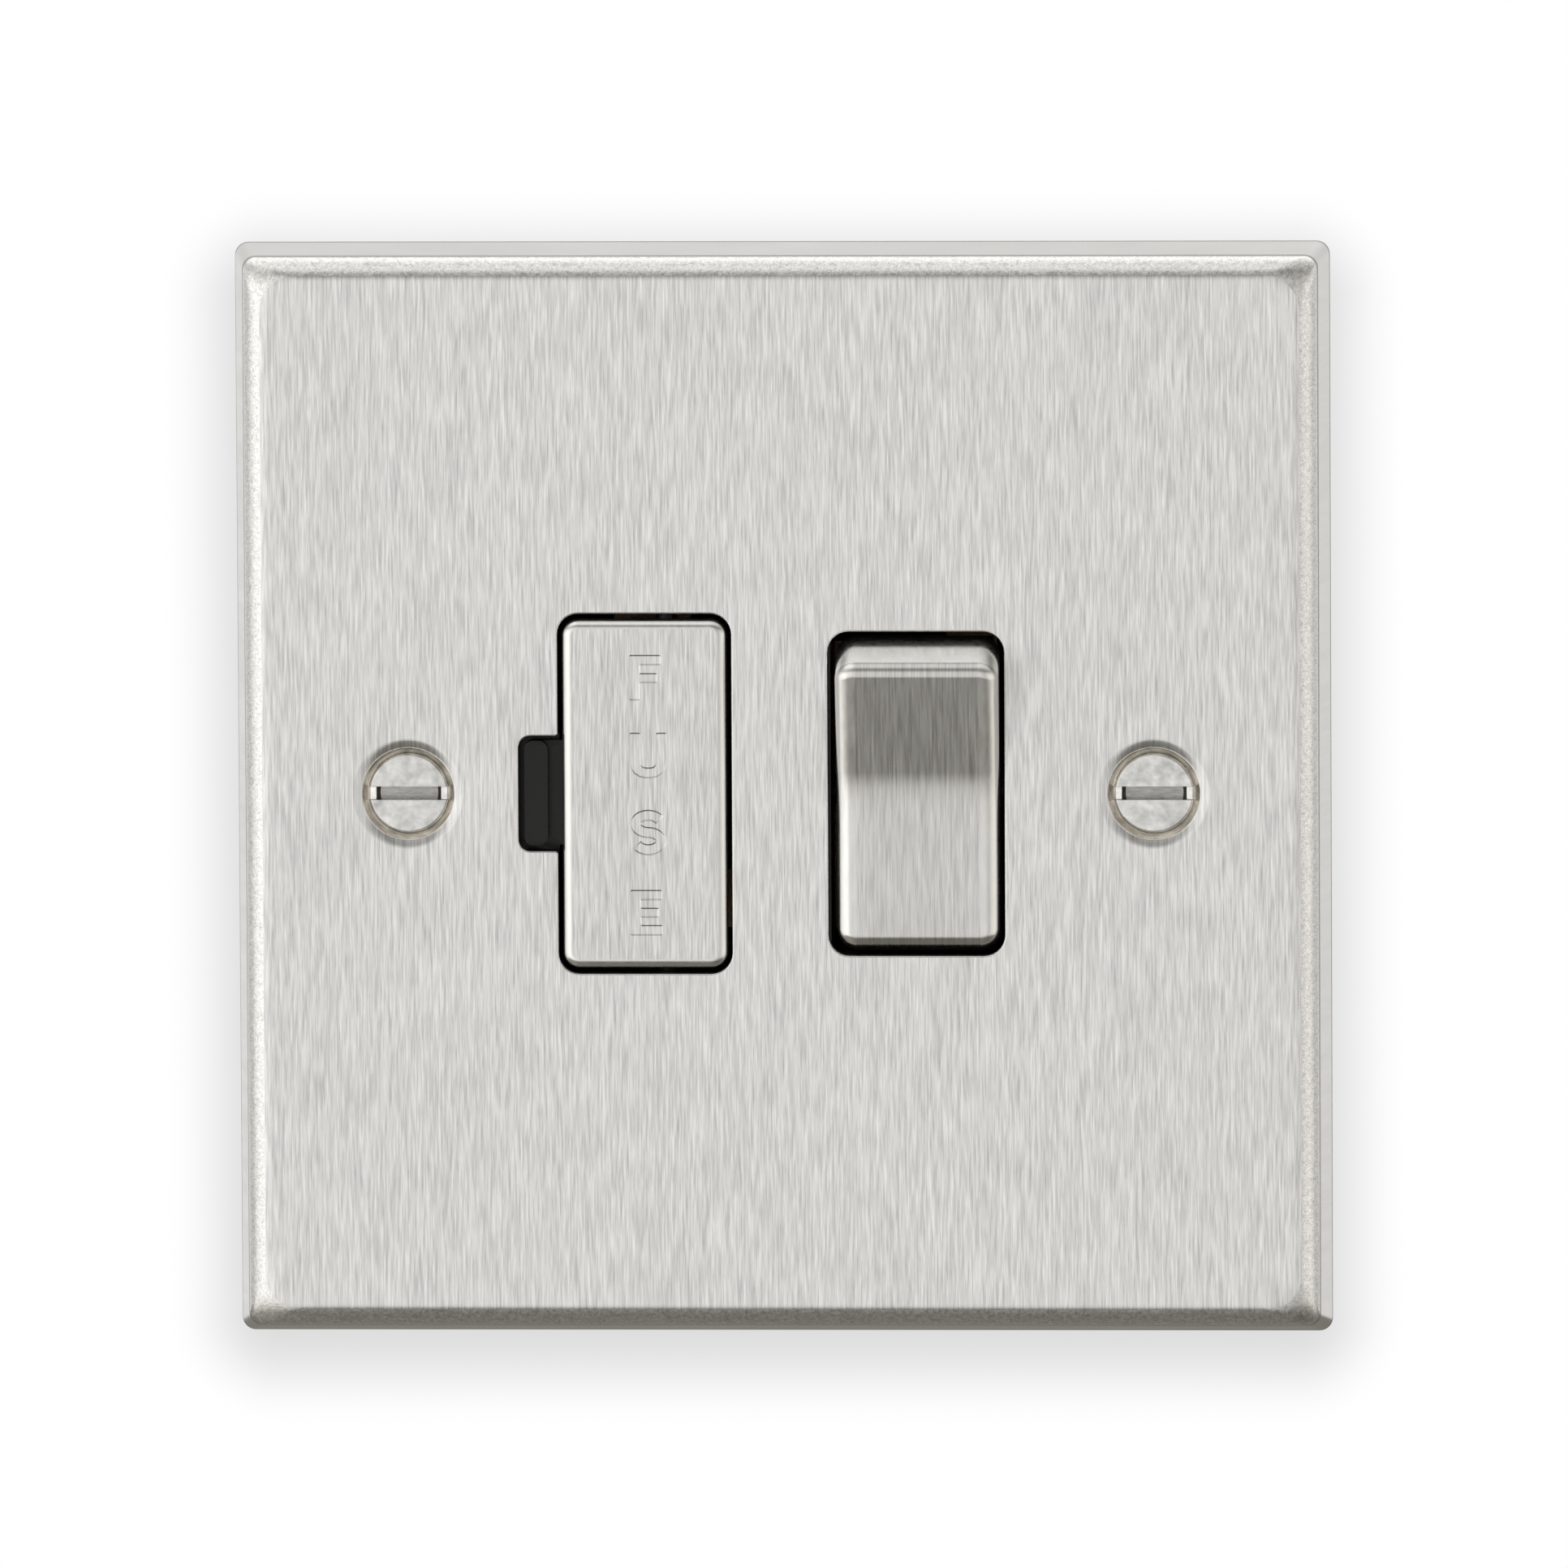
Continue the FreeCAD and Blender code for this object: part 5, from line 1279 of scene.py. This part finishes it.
@dataclass
class Terminals:
    """The six brass terminals and their slotted screws."""

    places: tuple[tuple[str, float, float], ...] = (
        ("supply_live", 7.4, -23.25),
        ("supply_neutral", 15.8, -23.25),
        ("supply_earth", -1.9, -23.25),
        ("load_live", -11.1, 23.25),
        ("load_neutral", 15.8, 23.25),
        ("load_earth", -1.9, 23.25),
    )
    thread: Thread = Thread(1.7, 0.7, 0.16, 10)
    top: float = 17.1
    foot: float = 14.275
    tip: float = 0.35
    slot_half: float = 0.36
    slot_depth: float = 1.1

    def build_screw(self, label: str, x: float, z: float) -> None:
        """Draw one terminal screw and put it in place of its node.

        Args:
            label: the terminal's name.
            x: the middle of the screw.
            z: the middle of the screw.
        """
        radius, top, floor = self.thread.radius, self.top, self.top - self.slot_depth
        crown = ((radius - 0.22, top), (radius - 0.07, top - 0.06), (radius, top - 0.2))
        head = SlottedHead((*crown, (radius, floor)), self.slot_half)
        span, end = (floor - 0.05, self.foot + 0.25), (radius - self.tip, self.foot)
        draft = Draft(Finishes.CLAMP)
        Screw(head, (), self.thread, span, end).draw(draft, Axis((x, 0.0, z)))
        screw = draft.build(f"{label}_clamp_screw")
        report(screw, "unit", f"{label}_terminal_screw")

    def build(self, nodes: dict[str, Object]) -> None:
        """Build the screws and dress the blocks."""
        for place in self.places:
            self.build_screw(*place)
        dress(nodes, [f"{label}_terminal" for label, x, z in self.places], Finishes.BRASS, 0.15)


@dataclass
class Body:
    """The two mouldings behind the plate and what holds them together."""

    nut_flat: float = 2.5
    nut_span: Flat = (-3.0, -1.4)
    nut_shares: tuple[float, ...] = (0.0, 0.04, 0.08, 0.12, 0.18, 0.5, 0.82, 0.88, 0.92, 0.96, 1.0)
    nut_bore: float = 1.3
    bore_chamfer: float = 0.2
    posts: tuple[Flat, ...] = ((-21.4, 25.4), (21.4, -25.4))
    thread: Thread = Thread(1.05, 0.8, 0.22, 7)
    head_radius: float = 1.8
    head_span: Flat = (17.5, 18.7)
    slot_half: float = 0.36
    screw_tip: Flat = (0.35, -3.98)

    def nut_radius(self, angle: float, share: float) -> float:
        """Radius of a chamfered hexagon at an angle, a share of its height up."""
        sector = angle % (math.pi / 3) - math.pi / 6
        near_face = min(share, 1 - share)
        return min(self.nut_flat / math.cos(sector), self.nut_flat * 0.96 + near_face * 2.2)

    def build_nuts(self) -> None:
        """Draw the stud nuts and put them in place of their node."""
        draft = Draft(Finishes.FASTENER)
        angles = full_turn(96)
        (low, high), bore, soft = self.nut_span, self.nut_bore, self.bore_chamfer
        for x, z in STUDS:
            axis = Axis((x, 0.0, z))
            rings = []
            for share in self.nut_shares:
                step = low + (high - low) * share
                row = (axis.point(self.nut_radius(a, share), a, step) for a in angles)
                rings.append(draft.add(row))
            inside = ((bore + soft, high), (bore, high - soft))
            inside += ((bore, low + soft), (bore + soft, low))
            rings += [axis.ring(draft, station, angles) for station in inside]
            draft.bridges(rings + rings[:1])
        report(draft.build("stud_hex_nuts"), "unit", "stud_nuts")

    def build_screws(self) -> None:
        """Draw the housing screws and put them in place of their node."""
        draft = Draft(Finishes.FASTENER)
        (low, top), r = self.head_span, self.head_radius
        crown = ((r * 0.72, top), (r * 0.86, top - 0.08), (r * 0.96, top - 0.25))
        head = SlottedHead((*crown, (r, top - 0.45), (r, top - 0.6)), self.slot_half)
        under = ((r, low), (self.thread.radius, low))
        span = (low - 0.3, self.screw_tip[1] + 1.2)
        screw = Screw(head, under, self.thread, span, self.screw_tip)
        for x, z in self.posts:
            screw.draw(draft, Axis((x, 0.0, z)))
        report(draft.build("housing_pan_screws"), "unit", "housing_screws")

    def build(self, nodes: dict[str, Object]) -> None:
        """Build the fasteners and dress the mouldings."""
        self.build_nuts()
        self.build_screws()
        dress(nodes, ["front_insert"], Finishes.BLACK, 0.1)
        dress(nodes, ["rear_housing"], Finishes.HOUSING, 0.2)


# Studio


@dataclass
class Studio:
    """Camera, lamps, floor and backdrop.

    Each lamp has a name, a middle and a size in metres, and a power in watts. The stops
    give the surround's colours up and across its front, and up its rear.
    """

    azimuth: float = 3.0
    elevation: float = 5.6
    distance: float = 2.0
    sensor: float = 36.0
    scale: float = 15.26
    aim: Place = (0.27, -6.0, 0.80)
    backdrop_y: float = 2.4
    backdrop_reach: float = 1.92
    painted_shadow_half: float = 41.0
    painted_shadow_drop: float = 1.75
    painted_shadow_fade: float = 10.5
    painted_shadow_tone: float = 0.72
    floor_z: float = -0.6
    floor_reach: float = 3.6
    lamps: tuple[tuple[str, Place, Flat, float], ...] = (
        ("left_softbox", (-1.1, -0.75, 0.45), (0.9, 1.1), 0.9),
        ("top_softbox", (0.1, -0.5, 1.3), (1.2, 0.7), 0.8),
    )
    sky_stops: Stops = (
        (-1.0, (0.24, 0.23, 0.205)),
        (-0.575, (0.20, 0.195, 0.175)),
        (-0.53, (0.42, 0.41, 0.39)),
        (-0.475, (0.93, 0.92, 0.90)),
        (-0.25, (1.02, 1.02, 1.02)),
        (0.12, (1.0, 1.0, 1.0)),
        (0.30, (0.80, 0.80, 0.79)),
        (0.50, (0.26, 0.26, 0.25)),
        (0.66, (0.50, 0.50, 0.49)),
        (0.80, (0.88, 0.88, 0.87)),
        (1.0, (0.92, 0.92, 0.91)),
    )
    side_stops: Stops = (
        (-1.0, (1.35, 1.35, 1.34)),
        (-0.72, (1.65, 1.65, 1.64)),
        (-0.40, (1.70, 1.70, 1.69)),
        (-0.14, (1.12, 1.12, 1.12)),
        (0.0, (0.98, 0.98, 0.98)),
        (0.14, (0.86, 0.86, 0.855)),
        (0.35, (0.76, 0.755, 0.74)),
        (0.7, (1.10, 1.08, 1.05)),
        (1.0, (1.30, 1.28, 1.25)),
    )
    rear_stops: Stops = (
        (-1.0, (0.26, 0.25, 0.22)),
        (-0.24, (0.28, 0.27, 0.24)),
        (-0.10, (0.90, 0.89, 0.87)),
        (0.0, (1.05, 1.05, 1.04)),
        (0.46, (0.88, 0.87, 0.85)),
        (0.66, (1.45, 1.45, 1.44)),
        (0.80, (1.95, 1.95, 1.94)),
        (1.0, (1.30, 1.30, 1.29)),
    )
    turn_over: Flat = (-0.15, 0.25)

    def add_camera(self) -> Object:
        """Add the camera at the viewing angle of the picture, level along the plate."""
        a, e = math.radians(self.azimuth), math.radians(self.elevation)
        toward = Vector((math.sin(a) * math.cos(e), -math.cos(a) * math.cos(e), math.sin(e)))
        data = bpy.data.cameras.new("view")
        data.sensor_width = self.sensor
        data.lens = self.sensor * self.distance / (PHOTO_SIDE / self.scale * MM)
        data.clip_start = 0.01
        camera = bpy.data.objects.new("view", data)
        camera.location = Vector(self.aim) * MM + toward * self.distance
        up = toward.cross(Vector((1.0, 0.0, 0.0))).normalized()
        camera.rotation_euler = Matrix((up.cross(toward), up, toward)).transposed().to_euler()
        bpy.context.scene.collection.objects.link(camera)
        bpy.context.scene.camera = camera
        return camera

    @staticmethod
    def add_lamp(name: str, place: Place, size: Flat, power: float) -> None:
        """Add a soft rectangular lamp that faces the unit.

        Args:
            name: the lamp's name.
            place: its middle in metres.
            size: its width and height in metres.
            power: its power in watts.
        """
        data = bpy.data.lights.new(name, "AREA")
        data.shape = "RECTANGLE"
        data.size, data.size_y = size
        data.energy = power
        lamp = bpy.data.objects.new(name, data)
        lamp.location = place
        lamp.rotation_euler = Vector(place).to_track_quat("Z", "Y").to_euler()
        bpy.context.scene.collection.objects.link(lamp)

    @staticmethod
    def add_panel(name: str, corners: Iterable[Place], material: bpy.types.Material) -> Object:
        """Add a flat stage panel from four corners in metres, and give it."""
        mesh = bpy.data.meshes.new(name)
        mesh.from_pydata([Vector(c) for c in corners], [], [(0, 1, 2, 3)])
        mesh.materials.append(material)
        panel = bpy.data.objects.new(name, mesh)
        bpy.context.scene.collection.objects.link(panel)
        return panel

    def add_floor(self) -> None:
        """Add the plain pale floor."""
        shader = Shader("floor_pale")
        cloud = shader.noise((90.0, 90.0, 90.0))
        tone = shader.blend(cloud, (0.47, 0.465, 0.455), (0.50, 0.495, 0.485))
        z, r = self.floor_z, self.floor_reach
        corners = ((-r, -r, z), (r, -r, z), (r, r, z), (-r, r, z))
        floor = self.add_panel("floor", corners, shader.paint(Base_Color=tone, Roughness=0.9))
        floor.visible_glossy = False
        floor.visible_shadow = False

    def add_backdrop(self, eye: Vector) -> None:
        """Add the white backdrop with a painted soft grey shadow behind the unit, placed as seen
        from the eye.
        """
        y, r, low = self.backdrop_y, self.backdrop_reach, self.floor_z
        shader = Shader("backdrop_white_painted_shadow")
        # The painted shadow is a rounded square on the wall, thrown from there onto the backdrop.
        scale = 1 - y / eye.y
        middle = Vector((eye.x, 0.0, eye.z)) * (1 - scale)
        middle.z -= self.painted_shadow_drop * MM * scale
        half = self.painted_shadow_half * MM * scale
        away = shader.vector("ABSOLUTE", shader.vector("SUBTRACT", shader.place, tuple(middle)))
        outside = shader.vector("MAXIMUM", shader.vector("SUBTRACT", away, (half, y, half)))
        share = shader.add(
            "MapRange",
            {"interpolation_type": "SMOOTHERSTEP"},
            Value=shader.vector("LENGTH", outside).outputs["Value"],
            From_Max=self.painted_shadow_fade * MM * scale,
        )
        # Painted shadow: the backdrop's white is darkened to grey round the unit.
        tone = shader.blend(share, (self.painted_shadow_tone,) * 3, (1.0, 1.0, 1.0))
        glow = shader.add("Emission", Color=tone, Strength=1.0)
        rays = shader.add("LightPath").outputs
        seen = shader.math("MAXIMUM", rays["Is Camera Ray"], rays["Is Glossy Ray"])
        seen = shader.math("MAXIMUM", seen, rays["Is Transmission Ray"])
        mixed = shader.add("MixShader", i0=seen, i1=shader.surface, i2=glow)
        shader.fill(shader.output, Surface=mixed)
        material = shader.paint(Base_Color=(0.8, 0.8, 0.8), Roughness=0.9)
        self.add_panel("backdrop", ((-r, y, low), (r, y, low), (r, y, r), (-r, y, r)), material)

    def add_world(self) -> None:
        """Add a plain soft surround, bright in front and above, darker below."""
        world = bpy.data.worlds.new("surround")
        bpy.context.scene.world = world
        world.use_nodes = True
        nodes = Nodes(world.node_tree)
        way = nodes.add("SeparateXYZ", i0=nodes.add("TexCoord").outputs["Generated"]).outputs
        upward = self.ramp(nodes, way["Z"], self.sky_stops)
        front = nodes.vector("MULTIPLY", upward, self.ramp(nodes, way["X"], self.side_stops))
        # The front's two ramps are multiplied, so the rear is brought to the same measure.
        rear = self.ramp(nodes, way["Z"], self.rear_stops)
        rear = nodes.add("VectorMath", {"operation": "SCALE"}, i0=rear, Scale=1 / WORLD_TOP)
        low, high = self.turn_over
        behind = nodes.add("MapRange", Value=way["Y"], From_Min=low, From_Max=high)
        whole = nodes.blend(behind, front, rear, "VECTOR")
        light = nodes.add("Background", Color=whole, Strength=WORLD_TOP**2)
        nodes.add("OutputWorld", Surface=light)

    @staticmethod
    def ramp(nodes: Nodes, source: Socket, stops: Stops) -> Socket:
        """Add a ramp of colours over one part of a direction.

        Args:
            nodes: the surround's nodes.
            source: the part of the direction, from -1 to 1.
            stops: the place of each colour and the colour.

        Returns:
            The output with the colour.
        """
        ramp = nodes.add("ValToRGB", Fac=nodes.add("MapRange", Value=source, From_Min=-1.0))
        elements = ramp.color_ramp.elements
        for i, (place, colour) in enumerate(stops):
            spot = elements[i] if i < 2 else elements.new(1.0)
            spot.position = (place + 1) / 2
            spot.color = (*(c / WORLD_TOP for c in colour), 1.0)
        return ramp.outputs["Color"]

    def build(self) -> None:
        """Set up the whole studio."""
        bpy.context.scene.view_settings.view_transform = "Standard"
        camera = self.add_camera()
        for lamp in self.lamps:
            self.add_lamp(*lamp)
        self.add_floor()
        self.add_backdrop(camera.location)
        self.add_world()


def main() -> None:
    """Load the frame, and build every sub-assembly and the studio."""
    logging.basicConfig(level=logging.INFO, format="%(message)s")
    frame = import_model()
    nodes = frame["nodes"]
    Faceplate().build()
    FixingScrews().build()
    FuseCarrier().build(nodes)
    Rocker().build(nodes)
    CurrentPath().build(nodes)
    Terminals().build(nodes)
    Body().build(nodes)
    Studio().build()


if __name__ == "__main__":
    main()
